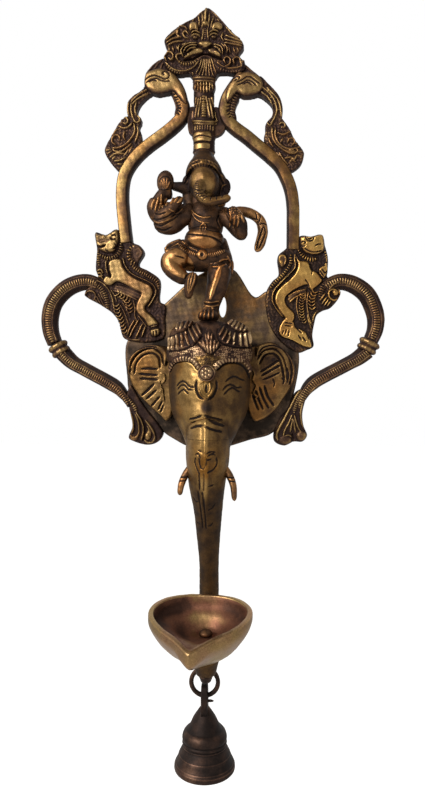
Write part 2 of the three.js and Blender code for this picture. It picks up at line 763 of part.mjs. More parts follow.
const plateSpots = fit(
  [
    [-52.5, 35.9], [-52.2, 15.7], [-50, 3], [-37.2, -9.5], [-29, -20.2], [-21.4, -25.2],
    [-14.4, -28.9], [-0.6, -32.6], [13.8, -28.7], [25.7, -24.9], [38.7, -21.1], [47.4, -11.1],
    [54.1, 9.4], [56, 29.9], [50, 48], [36.8, 67.9], [28.8, 64.2], [14.4, 82.4], [-3.7, 80.1],
    [-27.7, 60.9], [-45, 45],
  ],
  -PLATE_WIDTH / 2 + 1.8,
  PLATE_TOP - PLATE_HEIGHT,
  PLATE_WIDTH,
  PLATE_HEIGHT,
);
const plate = cut(
  seat(
    relief(outline(plateSpots, 30), 0, PLATE_DEPTH, 0.8),
    leftLion,
    rightLion,
    leftLeaf,
    rightLeaf,
    leftArmBar,
    rightArmBar,
  ),
  peg(9.5, 55, 5, -1, 8),
  ...headScrewZ.map((z) => peg(HEAD_X, z, headBoreWidth, -1, 8)),
  ...headScrewZ.map((z) => peg(HEAD_X, z, HEAD_SCREW_HEAD + 0.8, -1, 2.4)),
);

// Hanger plate let into the back of the crest, with a keyhole for a wall screw

const hangerX = CREST_X;
const hangerZ = crestBase + 18;
const hangerPlate = cut(
  block([hangerX - 8, -1.3, hangerZ - 12], [hangerX + 8, 0, hangerZ + 12]),
  peg(hangerX, hangerZ - 3, 8.4, -1, 3),
  block([hangerX - 2.1, -3, hangerZ - 3], [hangerX + 2.1, 1, hangerZ + 4.5]),
  ...[-1, 1].map((side) => peg(hangerX, hangerZ + side * 9.6, 2.9, -1, 3)),
);
const hangerPocket = block([hangerX - 5, -4.9, hangerZ - 7.4], [hangerX + 5, 1, hangerZ + 6.8]);
const hangerRecess = block([hangerX - 8.3, -1.6, hangerZ - 12.3], [hangerX + 8.3, 1, hangerZ + 12.3]);
const hangerRivets = [-1, 1].map((side) => peg(hangerX, hangerZ + side * 9.6, 2.3, 0.2, 4.4, 8));
const rivetHoles = [-1, 1].map((side) => peg(hangerX, hangerZ + side * 9.6, 2.9, 0, 4.7, 8));
const crestCasting = cut(flatBack(crest), hangerPocket, hangerRecess, ...rivetHoles);

// Bowl: a leaf-shaped oil lamp with a spout, on a round foot

const bowlX = -0.8;
const bowlFootZ = BOWL_RIM - BOWL_DEPTH;
const floorZ = bowlFootZ + BOWL_FLOOR;
const bowlMiddle = BOWL_BACK + 23;
const leafSpots = fit(
  [
    [0, 23], [13, 21.6], [23, 15.5], [28.3, 5], [27.6, -6], [21, -18], [11, -28.5], [1.5, -37.6],
    [-1.5, -37.6], [-11, -28.5], [-21, -18], [-27.6, -6], [-28.3, 5], [-23, 15.5], [-13, 21.6],
  ],
  -BOWL_WIDTH / 2,
  23 - BOWL_LENGTH,
  BOWL_WIDTH,
  BOWL_LENGTH,
);

function rimHeight(y) {
  const along = (-BOWL_BACK - y) / BOWL_LENGTH;
  return BOWL_RIM - 6.2 * along - 5.2 * along ** 3;
}

// Each ring of the bowl is part leaf and part circle: [leaf, circle radius, share of circle,
// drop below the rim, flat height, share of flat height].
const wall = 1 - (2 * BOWL_WALL) / BOWL_WIDTH;
const bowlRings = [
  [0.3, 6, 1, 0, floorZ, 1],
  [0.42, 11, 0.5, 8, floorZ + 1.6, 0.9],
  [0.62, 15, 0.2, 8, floorZ + 6, 0.6],
  [wall * 0.93, 20, 0, 6, floorZ + 10, 0.15],
  [wall, 20, 0, 0, 0, 0],
  [1, 20, 0, 0, 0, 0],
  [0.985, 20, 0, 5.5, 0, 0],
  [0.87, 20, 0.05, 12, floorZ + 2, 0.3],
  [0.68, 15, 0.2, 19, bowlFootZ + 7.5, 0.6],
  [0.45, 10, 0.5, 24, bowlFootZ + 2.4, 0.9],
  [0.3, BOWL_FOOT_WIDTH / 2, 1, 0, bowlFootZ, 1],
];

function bowlShell(grow) {
  const leaf = outline(leafSpots, 28);
  const positions = [];
  const faces = [];
  const around = leaf.length;
  bowlRings.forEach(([share, radius, round, drop, flat, level], i) => {
    const inside = i < 5;
    const midX = THREE.MathUtils.lerp(bowlX, BOLT_X, round);
    const midY = THREE.MathUtils.lerp(-bowlMiddle, -BOLT_STAND, round);
    leaf.forEach((spot) => {
      const turn = Math.atan2(spot.y, spot.x);
      const out = (1 - round) * share * spot.length() + round * radius + (inside ? -grow : grow);
      const x = midX + out * Math.cos(turn);
      const y = midY + out * Math.sin(turn);
      const edge = i === 4 || i === 5 ? grow : 0;
      const base = i === bowlRings.length - 1 ? -grow : 0;
      positions.push(x, y, (1 - level) * (rimHeight(y) - drop) + level * flat + edge + base);
    });
  });
  const floor = positions.length / 3;
  positions.push(BOLT_X, -BOLT_STAND, floorZ, BOLT_X, -BOLT_STAND, bowlFootZ - grow);
  for (let k = 0; k < around; k++) {
    const next = (k + 1) % around;
    faces.push(floor, next, k);
    for (let i = 0; i < bowlRings.length - 1; i++) {
      const a = i * around;
      faces.push(a + k, a + next, a + around + k, a + next, a + around + next, a + around + k);
    }
    const last = (bowlRings.length - 1) * around;
    faces.push(floor + 1, last + k, last + next);
  }
  const geometry = new THREE.BufferGeometry();
  geometry.setAttribute('position', new THREE.BufferAttribute(new Float32Array(positions), 3));
  geometry.setIndex(faces);
  return solidOf(geometry);
}

const bossTop = bowlFootZ - SEAM;
const bossBottom = bossTop - BOSS_HEIGHT;
const boltHole = post(BOLT_X, -BOLT_STAND, BOLT_WIDTH + 2 * BOLT_FIT, bossBottom - 5, floorZ + 5);
const bowl = cut(bowlShell, boltHole);
const nutTop = bossBottom - SEAM;
const boltEnd = nutTop - NUT_HEIGHT + 1.1;
const bowlNut = cut(
  turned(BOLT_X, -BOLT_STAND, [[NUT_WIDTH * 0.35, nutTop - NUT_HEIGHT], [NUT_WIDTH / 2, nutTop]], 14),
  post(BOLT_X, -BOLT_STAND, BOLT_WIDTH + 2 * BOLT_FIT, boltEnd - SEAM, nutTop + 1),
);
const boltHead = floorZ + SEAM;
const bowlBolt = turned(
  BOLT_X,
  -BOLT_STAND,
  [
    [BOLT_WIDTH / 2, boltEnd],
    [BOLT_WIDTH / 2, boltHead],
    [BOLT_HEAD_WIDTH / 2, boltHead],
    [BOLT_HEAD_WIDTH * 0.43, boltHead + BOLT_HEAD_HEIGHT * 0.55],
    [BOLT_HEAD_WIDTH * 0.22, boltHead + BOLT_HEAD_HEIGHT],
  ],
  14,
);

// Trunk, which runs down behind the bowl and curls forward into the boss that the bowl stands on

const trunk = cut(
  seat(
    join(
      limb(
        [
          [HEAD_X, -30, -17, TRUNK_ROOT, 30],
          [HEAD_X, -33, -31, TRUNK_ROOT * 1.06, 27],
          [HEAD_X - 0.4, -32, -48, TRUNK_ROOT * 0.86, 22],
          [HEAD_X, -30, -61, TRUNK_ROOT * 0.7, 18],
          [HEAD_X, -28, -74, TRUNK_ROOT * 0.6, 15.5],
          [BOLT_X, -26.5, bossTop + 48.4, TRUNK_END * 1.02, 13],
          [BOLT_X, -26, bossTop + 30.4, TRUNK_END, 12],
          [BOLT_X, -27, bossTop + 18.4, TRUNK_END, 12],
          [BOLT_X, -31, bossTop + 7.4, TRUNK_END, 11],
          [BOLT_X, -37.5, bossTop, TRUNK_END * 0.95, 10],
          [BOLT_X, -BOLT_STAND + 5, bossTop - 4.2, TRUNK_END * 0.85, 8],
        ],
        [1, 0, 0],
        12,
        2,
      ),
      turned(BOLT_X, -BOLT_STAND, [[BOSS_END / 2, bossBottom], [BOWL_FOOT_WIDTH / 2, bossTop]], 18),
    ),
    skull,
    bowlShell,
  ),
  boltHole,
);

function tusk(side, drop) {
  return seat(
    limb(
      [
        [HEAD_X + side * 9, -34, -37, TUSK_WIDTH],
        [HEAD_X + side * 13, -35.5, -43, TUSK_WIDTH],
        [HEAD_X + side * 15, -37, -48, TUSK_WIDTH * 0.9],
        [HEAD_X + side * 15.8, -38, -48 - drop, TUSK_WIDTH * 0.7],
      ],
      [0, 1, 0],
      7,
      2,
    ),
    trunk,
  );
}

// Ring lug under the trunk's curl, the ring, and the bell that hangs in it

const ringY = -RING_STAND;
const ringTop = bossTop - RING_DROP;
const ringMiddle = ringTop - RING_WIDTH / 2;
const ringBottom = ringTop - RING_WIDTH;
const wireRadius = RING_WIRE / 2;
const lugHoleZ = ringTop - wireRadius - RING_FIT + EYE_HOLE / 2;
const lugBottom = lugHoleZ - EYE_HOLE / 2 - LUG_DROP;
const half = EYE_WIDTH / 2;
const lug = seat(
  tongue(
    RING_X,
    EYE_THICKNESS,
    [
      [ringY - half, lugHoleZ + 6], [ringY - half, lugBottom + 4], [ringY - half * 0.55, lugBottom],
      [ringY + half * 0.55, lugBottom], [ringY + half, lugBottom + 4], [ringY + half, lugHoleZ + 6],
    ].reverse(),
    [ringY, lugHoleZ],
    EYE_HOLE,
  ),
  trunk,
);
const ring = wireRing(RING_X, ringY, ringMiddle, RING_WIDTH, RING_WIRE);

const eyeHoleZ = ringBottom + wireRadius + RING_FIT - EYE_HOLE / 2;
const eyeTop = eyeHoleZ + EYE_HOLE / 2 + LUG_DROP - 0.4;
const bellTop = eyeHoleZ - BELL_EYE_DROP;
const bellStations = [
  [0.955, 1], [1, 0.978], [1, 0.943], [0.93, 0.85], [0.83, 0.72], [0.757, 0.625], [0.7, 0.58],
  [0.735, 0.555], [0.69, 0.53], [0.733, 0.48], [0.71, 0.435], [0.55, 0.33], [0.437, 0.23],
  [0.357, 0.15], [0.25, 0.075], [0.15, 0],
].map(([r, drop]) => [(r * BELL_WIDTH) / 2, bellTop - drop * BELL_HEIGHT]);
const ceiling = bellTop - 7.5;
const cavityStations = [
  [0.955, 1.01], [0.93, 0.85], [0.8, 0.72], [0.71, 0.6], [0.7, 0.46], [0.53, 0.33], [0.36, 0.25],
].map(([r, drop]) => [(r * BELL_WIDTH) / 2 - BELL_WALL, bellTop - drop * BELL_HEIGHT]);
cavityStations.push([2, ceiling]);

const bellBody = cut(
  join(
    turned(RING_X, ringY, bellStations, 20),
    tongue(
      RING_X,
      EYE_THICKNESS,
      [
        [ringY - half, bellTop - 3], [ringY + half, bellTop - 3], [ringY + half, eyeTop - 3.4],
        [ringY + half * 0.5, eyeTop], [ringY - half * 0.5, eyeTop], [ringY - half, eyeTop - 3.4],
      ],
      [ringY, eyeHoleZ],
      EYE_HOLE,
    ),
  ),
  turned(RING_X, ringY, cavityStations, 20),
);

const stapleZ = ceiling - 0.8;
const stapleBottom = stapleZ - STAPLE_WIDTH / 2;
const staple = seat(wireRing(RING_X, ringY, stapleZ, STAPLE_WIDTH, STAPLE_WIRE, false, 12), bellBody);
const clapperEyeZ = stapleBottom + STAPLE_WIRE + SEAM - STAPLE_WIDTH / 2;
const clapperBallZ = stapleBottom - CLAPPER_LENGTH;
const clapper = join(
  wireRing(RING_X, ringY, clapperEyeZ, STAPLE_WIDTH, STAPLE_WIRE, true, 12),
  post(RING_X, ringY, STAPLE_WIRE * 1.2, clapperBallZ, clapperEyeZ - STAPLE_WIDTH / 2, 8),
  ball([RING_X, ringY, clapperBallZ], [CLAPPER_BALL, CLAPPER_BALL, CLAPPER_BALL], 10, 7),
);

// Dancing figure, drawn at its full height of 103 from the sole of the standing foot

const figureScale = FIGURE_HEIGHT / 103;
const figured = (form) => (grow) =>
  form(grow / figureScale)
    .scale([figureScale, figureScale, figureScale])
    .translate([FIGURE_X, 0, FIGURE_FOOT]);
const figureBall = (at, size, across = 8, down = 6) => figured(ball(at, size, across, down));
const figureLimb = (stations, side = [0, 1, 0], sides = 6) => figured(limb(stations, side, sides));

const torso = join(
  figureBall([1.2, -16, 61], [23, 17, 29], 10, 8),
  figureBall([0.9, -19, 50.4], [23, 20, 17], 10, 8),
);
const belt = figured(turned(0.7, -18, [[11.4, 40.6], [12.8, 42], [12.8, 45.4], [11.4, 46.8]], 14, 0.85));
const figureTorso = seat(torso, belt);
const skirt = seat(figureBall([-1.7, -17, 39], [38, 18, 17], 10, 8), belt, torso);
const crown = figureLimb(
  [
    [0, -8, 103, 12, 13],
    [0, -12, 98, 17, 17],
    [0, -15, 92.5, 20, 20],
  ],
  [1, 0, 0],
  12,
);
const figureHead = seat(
  join(
    figureBall([1.2, -18, 84.5], [21, 18, 23], 12, 8),
    figureBall([13.1, -16, 83], [7, 4, 9]),
    figureBall([-10.5, -16, 84], [7, 4, 9]),
  ),
  crown,
  torso,
);
const figureTrunk = seat(
  figureLimb(
    [
      [1.7, -25, 80, 9], [0.7, -28.5, 72, 7.4], [4.7, -29, 67.5, 6.4], [10.7, -28, 66.6, 5.4],
      [17.2, -26, 68.5, 4],
    ],
  ),
  figureHead,
  torso,
);
const leftArm = seat(
  figureLimb(
    [
      [-6.3, -16, 70, 11], [-18.3, -17, 64, 11.5], [-27.3, -17, 67, 9], [-28.3, -18, 73, 8],
      [-23.3, -18, 79, 7],
    ],
  ),
  torso,
  figureHead,
);
const lowerLeftArm = seat(
  figureLimb(
    [[-8.3, -19, 63, 10], [-21.3, -22, 55.6, 10], [-17.9, -24.6, 65, 7], [-14.7, -25, 73, 7, 5]],
  ),
  torso,
  leftArm,
  skirt,
);
const flower = seat(figureBall([-22.3, -18, 85.5], [12, 9, 14]), leftArm, figureHead);
const rightArmLimb = figureLimb(
  [[9.7, -16, 69, 11], [17.7, -18, 60.6, 9.6], [22.7, -20, 53, 8.4], [21.3, -25, 60, 7]],
);
const figureRightArm = seat(rightArmLimb, torso, figureTrunk);
const sash = seat(
  figureLimb(
    [
      [11.7, -12, 66, 5], [20, -12, 69.7, 6, 5], [29.1, -12, 68.4, 6, 5], [35.2, -12, 65.5, 6, 5],
      [39.7, -12, 59, 6, 5], [38.5, -12, 49, 6, 5], [32.7, -12, 43.5, 4, 4],
    ],
  ),
  torso,
  rightArmLimb,
);
const raisedLeg = seat(
  figureLimb(
    [
      [-8.3, -20, 37, 16, 13], [-20.8, -23, 34.4, 12, 11], [-15.3, -25, 27.6, 9, 9], [-7.3, -26, 25, 8, 7],
      [-6.7, -27, 20, 7, 7], [-6.9, -28, 14.5, 6, 5],
    ],
  ),
  skirt,
  belt,
);
const standingLeg = seat(
  join(
    figureLimb(
      [[10.7, -18, 34, 15, 14], [8.2, -19, 23, 11.4, 11], [5.7, -21, 13, 9, 9], [4.1, -22, 4, 8.6, 8]],
    ),
    figureBall([4, -25, 3], [13, 15, 7]),
  ),
  skirt,
  belt,
  headdress,
  raisedLeg,
);

place('back_plate', flatBack(plate), brass);
place('crest', crestCasting, brass);
place('hanger_plate', hangerPlate, steel);
place('lower_hanger_rivet', hangerRivets[0], steel);
place('upper_hanger_rivet', hangerRivets[1], steel);
place('centre_staff', flatBack(staff), brass);
place('left_bird_head', flatBack(leftHead), brass);
place('right_bird_head', flatBack(rightHead), brass);
place('left_arch_band', flatBack(leftBand), brass);
place('right_arch_band', flatBack(rightBand), brass);
place('left_leaf_drop', flatBack(leftDrop), brass);
place('right_leaf_drop', flatBack(rightDrop), brass);
place('left_lion', flatBack(leftLion), brass);
place('right_lion', flatBack(rightLion), brass);
place('left_loop', flatBack(leftLoop), brass);
place('right_loop', flatBack(rightLoop), brass);
place('left_loop_collar', flatBack(leftCollar), brass);
place('right_loop_collar', flatBack(rightCollar), brass);
place('left_loop_arm', flatBack(leftArmBar), brass);
place('right_loop_arm', flatBack(rightArmBar), brass);
place('left_leaf_foot', flatBack(leftLeaf), brass);
place('right_leaf_foot', flatBack(rightLeaf), brass);
place('figure_crown', seat(crown, staff), reddish);
place('figure_head', figureHead, reddish);
place('figure_trunk', figureTrunk, reddish);
place('figure_torso', figureTorso, reddish);
place('figure_belt', belt, reddish);
place('figure_skirt', skirt, reddish);
place('figure_raised_leg', raisedLeg, reddish);
place('figure_standing_leg', standingLeg, reddish);
place('figure_upper_left_arm', leftArm, reddish);
place('figure_lower_left_arm', lowerLeftArm, reddish);
place('figure_flower', flower, reddish);
place('figure_right_arm', figureRightArm, reddish);
place('figure_sash', sash, reddish);
place('elephant_head', elephantHead, brass);
place('upper_head_screw', headScrews[0], steel);
place('lower_head_screw', headScrews[1], steel);
place('headdress', headdress, brass);
place('forehead_jewel', foreheadJewel, brass);
place('drop_jewel', dropJewel, brass);
place('left_ear', leftEar, brass);
place('right_ear', rightEar, brass);
place('trunk', trunk, brass);
place('left_tusk', tusk(-1, 6), brass);
place('right_tusk', tusk(1, 9), brass);
place('oil_bowl', bowl, reddish);
place('bowl_bolt', bowlBolt, reddish);
place('bowl_nut', bowlNut, darkened);
place('ring_lug', lug, darkened);
place('ring', ring, darkened);
place('bell', bellBody, darkened);
place('clapper_staple', staple, darkened);
place('clapper', clapper, darkened);

export default lamp;
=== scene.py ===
"""Looks of the hanging oil lamp: a cast brass wall hanging with a bowl and a bell.

Works in millimetres in the frame of the CAD model and hands meshes over in metres.
X runs to the viewer's right, Z up, and the lamp stands out from the wall Y = 0 towards -Y.
"""

import math

import bpy
import numpy as np
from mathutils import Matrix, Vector


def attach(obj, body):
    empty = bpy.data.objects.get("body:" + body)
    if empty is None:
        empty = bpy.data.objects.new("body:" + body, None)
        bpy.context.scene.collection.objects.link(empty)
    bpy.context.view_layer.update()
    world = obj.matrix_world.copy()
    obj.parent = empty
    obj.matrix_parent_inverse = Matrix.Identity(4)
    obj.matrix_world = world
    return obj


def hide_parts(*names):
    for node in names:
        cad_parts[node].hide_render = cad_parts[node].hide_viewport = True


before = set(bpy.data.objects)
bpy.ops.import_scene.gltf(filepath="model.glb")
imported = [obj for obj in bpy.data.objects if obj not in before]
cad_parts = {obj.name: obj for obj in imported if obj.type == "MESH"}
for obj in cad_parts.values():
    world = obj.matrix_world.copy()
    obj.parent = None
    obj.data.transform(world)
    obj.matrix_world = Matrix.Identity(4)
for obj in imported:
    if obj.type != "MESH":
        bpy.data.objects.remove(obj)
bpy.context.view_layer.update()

MM = 0.001
GRAIN = 0.42  # spacing of the skin of a carved casting
PLATE_DEPTH = 4.0
HEAD_BACK = 4.3  # the head is cut off flat this far from the wall
HEAD_X = 1.4
HEAD_SCREWS = {"upper_head_screw": 27.0, "lower_head_screw": -9.0}  # with their heights
HANGER_X = -3.5
HANGER_RIVETS = {"upper_hanger_rivet": 226.2, "lower_hanger_rivet": 207.0}
BOLT_X, BOLT_Y = 1.7, -50.0
RING_AT = (0.2, -40.0)  # X and Y of the ring and all that hangs from it
RING_Z = -160.0
RING_RADIUS = 7.65
BIRD_FRONT = 6.4
DROP_FRONT = 5.6
LION_FRONT = 5.4
LEAF_FRONT = 6.0
EAR_FRONT = 9.2
BAND_WIDTH, BAND_FRONT = 7.8, 6.6
FIGURE_X, FIGURE_Z = -2.7, 47  # the middle of its standing foot


# Lines and surfaces


def spots_of(line):
    """The spots of a line in millimetres, as X, Z.

    A flat list is a stroke in tenths of a millimetre: X and Z of its first spot,
    and then the step along X and Z from each spot to the next.
    """
    line = np.asarray(line, float)
    if line.ndim == 1:
        line = np.cumsum(line.reshape(-1, 2), axis=0) / 10
    return line


def flow(line, steps, closed=False, dims=2):
    """A smooth line through the spots, with this many steps from each spot to the next."""
    spots = spots_of(line)
    if closed:
        held = np.vstack([spots[-1:], spots, spots[:2]])
    else:
        held = np.vstack([2 * spots[0] - spots[1], spots, 2 * spots[-1] - spots[-2]])
    line = []
    for a, b, c, d in zip(held, held[1:], held[2:], held[3:]):
        before, span, after = (
            max(np.linalg.norm((q - p)[:dims]) ** 0.5, 1e-3) for p, q in ((a, b), (b, c), (c, d)))
        leave = ((b - a) / before - (c - a) / (before + span) + (c - b) / span) * span
        arrive = ((c - b) / span - (d - b) / (span + after) + (d - c) / after) * span
        for i in range(steps):
            t = i / steps
            line.append(
                b
                + leave * t
                + (3 * (c - b) - 2 * leave - arrive) * t**2
                + (2 * (b - c) + leave + arrive) * t**3
            )
    if not closed:
        line.append(spots[-1])
    return np.array(line)


def ease(value, low, high):
    """0 below low, 1 above high, and a smooth rise between them."""
    t = np.clip((value - low) / (high - low), 0, 1)
    return t * t * (3 - 2 * t)


def distances(plan, line):
    """Distance of each point from a line, and how far along the line its nearest spot lies."""
    best = np.full(len(plan), 1e9)
    run = np.zeros(len(plan))
    done = 0.0
    for a, b in zip(line[:-1], line[1:]):
        step = b - a
        length = max(math.hypot(*step), 1e-6)
        share = np.clip((plan - a) @ step / length**2, 0, 1)
        away = np.hypot(*(plan - a - share[:, None] * step).T)
        closer = away < best
        best[closer] = away[closer]
        run[closer] = done + share[closer] * length
        done += length
    return best, run, done


def arrows(line):
    """Unit arrows along a line and to its left, one for each spot."""
    heading = np.gradient(line, axis=0)
    heading /= np.linalg.norm(heading, axis=1)[:, None]
    return heading, np.column_stack([-heading[:, 1], heading[:, 0]])


def inside(plan, outline):
    """True for the points that lie inside a closed outline."""
    found = np.zeros(len(plan), bool)
    x, z = plan.T
    for (x0, z0), (x1, z1) in zip(outline, np.roll(outline, -1, axis=0)):
        crosses = (z0 > z) != (z1 > z)
        if z1 != z0:
            found ^= crosses & (x < (x1 - x0) * (z - z0) / (z1 - z0) + x0)
    return found


def ripple(spots, size):
    """A gentle uneven field, as on hand-worked wax, of about -1 to 1."""
    x, y, z = (spots / size).T
    return (
        np.sin(1.7 * x + 0.9 * z + 0.4) * np.sin(1.3 * z - 0.8 * y + 1.9)
        + 0.6 * np.sin(3.1 * z + 2.2 * x - 0.7) * np.sin(2.7 * x - 1.9 * z + y)
    ) / 1.6


# Modelling steps


def let_go():
    bpy.ops.object.select_all(action="DESELECT")


def take(piece):
    let_go()
    piece.select_set(True)
    bpy.context.view_layer.objects.active = piece


def read_spots(piece):
    flat = np.empty(len(piece.data.vertices) * 3, np.float32)
    piece.data.vertices.foreach_get("co", flat)
    return flat.reshape(-1, 3).astype(float) / MM


def read_normals(piece):
    flat = np.empty(len(piece.data.vertices) * 3, np.float32)
    piece.data.vertex_normals.foreach_get("vector", flat)
    return flat.reshape(-1, 3).astype(float)


def write_spots(piece, spots):
    piece.data.vertices.foreach_set("co", (spots * MM).astype(np.float32).ravel())
    piece.data.update()


def rework(piece, operation, **settings):
    """Runs one mesh operation on all of the piece."""
    take(piece)
    bpy.ops.object.mode_set(mode="EDIT")
    bpy.ops.mesh.select_all(action="SELECT")
    operation(**settings)
    bpy.ops.object.mode_set(mode="OBJECT")


def adjust(piece, kind, **settings):
    """Gives the piece a modifier and applies it."""
    take(piece)
    modifier = piece.modifiers.new(kind.lower(), kind)
    for setting, value in settings.items():
        setattr(modifier, setting, value)
    bpy.ops.object.modifier_apply(modifier=modifier.name)


def turn_outwards(piece):
    rework(piece, bpy.ops.mesh.normals_make_consistent, inside=False)


def settle():
    """Lets a new object keep its turn and size in its mesh."""
    bpy.ops.object.transform_apply(location=True, rotation=True, scale=True)
    return bpy.context.object


def saw(piece, spot, facing, keep_outer=False):
    """Parts the piece at a plane, closes the cut and keeps the side behind the plane."""
    rework(piece, bpy.ops.mesh.bisect, plane_co=[value * MM for value in spot], plane_no=facing,
        use_fill=True, clear_outer=not keep_outer, clear_inner=keep_outer)
    return piece


def hollow(piece, punch):
    """Cuts the shape of the punch out of the piece."""
    adjust(piece, "BOOLEAN", operation="DIFFERENCE", object=punch)
    bpy.data.objects.remove(punch)


def join(parts):
    """Makes one object of the parts, with the name of the first."""
    let_go()
    for part in parts:
        part.select_set(True)
    bpy.context.view_layer.objects.active = parts[0]
    if len(parts) > 1:
        bpy.ops.object.join()
    return parts[0]


def twin(piece, name, height=0):
    """A copy with its own mesh, raised by the height."""
    other = piece.copy()
    other.data = piece.data.copy()
    other.name = name
    bpy.context.collection.objects.link(other)
    if height:
        write_spots(other, read_spots(other) + (0, 0, height))
    return other


def slab(name, outline, back, front):
    """A flat blank: the outline in the X-Z plane, drawn out from the back to the front."""
    let_go()
    bpy.ops.mesh.primitive_circle_add(vertices=len(outline), radius=1, fill_type="NGON")
    blank = bpy.context.object
    blank.name = name
    places = np.column_stack([outline[:, 0], np.full(len(outline), -back), outline[:, 1]])
    write_spots(blank, places)
    rework(blank, bpy.ops.mesh.extrude_region_move,
        TRANSFORM_OT_translate={"value": (0, (back - front) * MM, 0)})
    turn_outwards(blank)
    return blank


def drill(x, z, wide, high, back, front):
    """A round or oval punch that lies along Y."""
    turns = np.linspace(0, 2 * math.pi, 40, endpoint=False)
    outline = np.column_stack([x + wide * np.cos(turns), z + high * np.sin(turns)])
    return slab("drill", outline, back, front)


def globe(name, segments, rings, surface):
    """A sphere whose skin is drawn out to surface(rise, turn): rise 0 to 1 from pole to pole."""
    let_go()
    bpy.ops.mesh.primitive_uv_sphere_add(segments=segments, ring_count=rings, radius=1)
    blank = bpy.context.object
    blank.name = name
    x, y, z = read_spots(blank).T * MM
    rise = np.round(np.arccos(np.clip(-z, -1, 1)) / math.pi * rings) / rings
    turn = np.arctan2(y, x)
    write_spots(blank, surface(rise, turn))
    turn_outwards(blank)
    return blank


def lump(at, size, segments=32, rings=20):
    """An egg of wax: its middle and its size along X, Y and Z."""

    def surface(rise, turn):
        out = np.sin(rise * math.pi)
        ways = np.column_stack([out * np.cos(turn), out * np.sin(turn), -np.cos(rise * math.pi)])
        return np.array(at, float) + ways * np.array(size, float) / 2

    return globe("lump", segments, rings, surface)


def limb(stations, side=(0, 1, 0), segments=28, rings=48, keel=2.0, cap=0.1):
    """A rounded limb through stations x, y, z, width and depth; the width lies along side."""
    full = [list(s[:4]) + [s[4] if len(s) > 4 else s[3]] for s in stations]
    line = flow(full, 24, dims=3)
    heading = np.gradient(line[:, :3], axis=0)
    heading /= np.linalg.norm(heading, axis=1)[:, None]
    up = np.cross(heading, np.array(side, float))
    up /= np.linalg.norm(up, axis=1)[:, None]
    across = np.cross(up, heading)

    def surface(rise, turn):
        at = rise * (len(line) - 1)
        low = np.minimum(at.astype(int), len(line) - 2)
        share = (at - low)[:, None]

        def blend(table):
            return table[low] * (1 - share) + table[low + 1] * share

        end = np.minimum(rise, 1 - rise) / cap
        swell = np.sqrt(np.clip(1 - (1 - np.minimum(end, 1)) ** 2, 0, 1))
        c, s = np.cos(turn), np.sin(turn)
        wide = np.sign(c) * np.abs(c) ** (2 / keel)
        deep = np.sign(s) * np.abs(s) ** (2 / keel)
        sizes = blend(line[:, 3:5]) / 2 * swell[:, None]
        spots = blend(line[:, :3]) + blend(across) * (sizes[:, 0] * wide)[:, None]
        return spots + blend(up) * (sizes[:, 1] * deep)[:, None]

    return globe("limb", segments, rings, surface)


def turned(name, profile, x, y, segments=72, flatten=1.0, flutes=0, flute=0.0):
    """A piece turned on an upright axis: the profile runs as radius, height from pole to pole."""
    line = np.array([(0, profile[0][1]), *profile, (0, profile[-1][1])], float)

    def surface(rise, turn):
        step = np.round(rise * (len(line) - 1)).astype(int)
        radius = line[step, 0] * (1 + flute * np.cos(flutes * turn))
        return np.column_stack([x + radius * np.cos(turn), y + radius * np.sin(turn) * flatten,
            line[step, 1]])

    return globe(name, segments, len(line) - 1, surface)


def fuse(name, parts, grain=GRAIN, smooth=0):
    """Sticks the parts together under one skin, as a casting comes out of its mould."""
    casting = join(parts)
    casting.name = casting.data.name = name
    adjust(casting, "REMESH", mode="VOXEL", voxel_size=grain * MM)
    if smooth:
        adjust(casting, "SMOOTH", factor=0.5, iterations=smooth)
    return casting


def smoothed(spots, edges, rounds):
    """The spots after each has moved to the middle of its neighbours this many times."""
    count = len(spots)
    ends = np.concatenate([edges[:, 0], edges[:, 1]])
    others = np.concatenate([edges[:, 1], edges[:, 0]])
    share = np.maximum(np.bincount(ends, minlength=count), 1)
    for _ in range(rounds):
        spots = np.column_stack([
            np.bincount(ends, weights=spots[others, k], minlength=count) / share
            for k in range(3)])
    return spots


def weather(piece, gold, reach, strength):
    """Keeps how bright each spot is, painted light and shade included: worn bright where it
    stands out, dark where it is deep.
    """
    spots = read_spots(piece)
    flat = np.empty(len(piece.data.edges) * 2, np.int32)
    piece.data.edges.foreach_get("vertices", flat)
    level = smoothed(spots, flat.reshape(-1, 2), reach)
    standing = np.sum((spots - level) * read_normals(piece), axis=1)
    polish = np.clip(gold + strength * np.clip(standing, -0.7, 0.5), 0, 1)
    # The stored value holds the patina and polish together with the painted highlights and
    # painted shade passed in as gold.
    mark = piece.data.attributes.new("patina_and_painted_light", "FLOAT", "POINT")
    mark.data.foreach_set("value", polish.astype(np.float32))


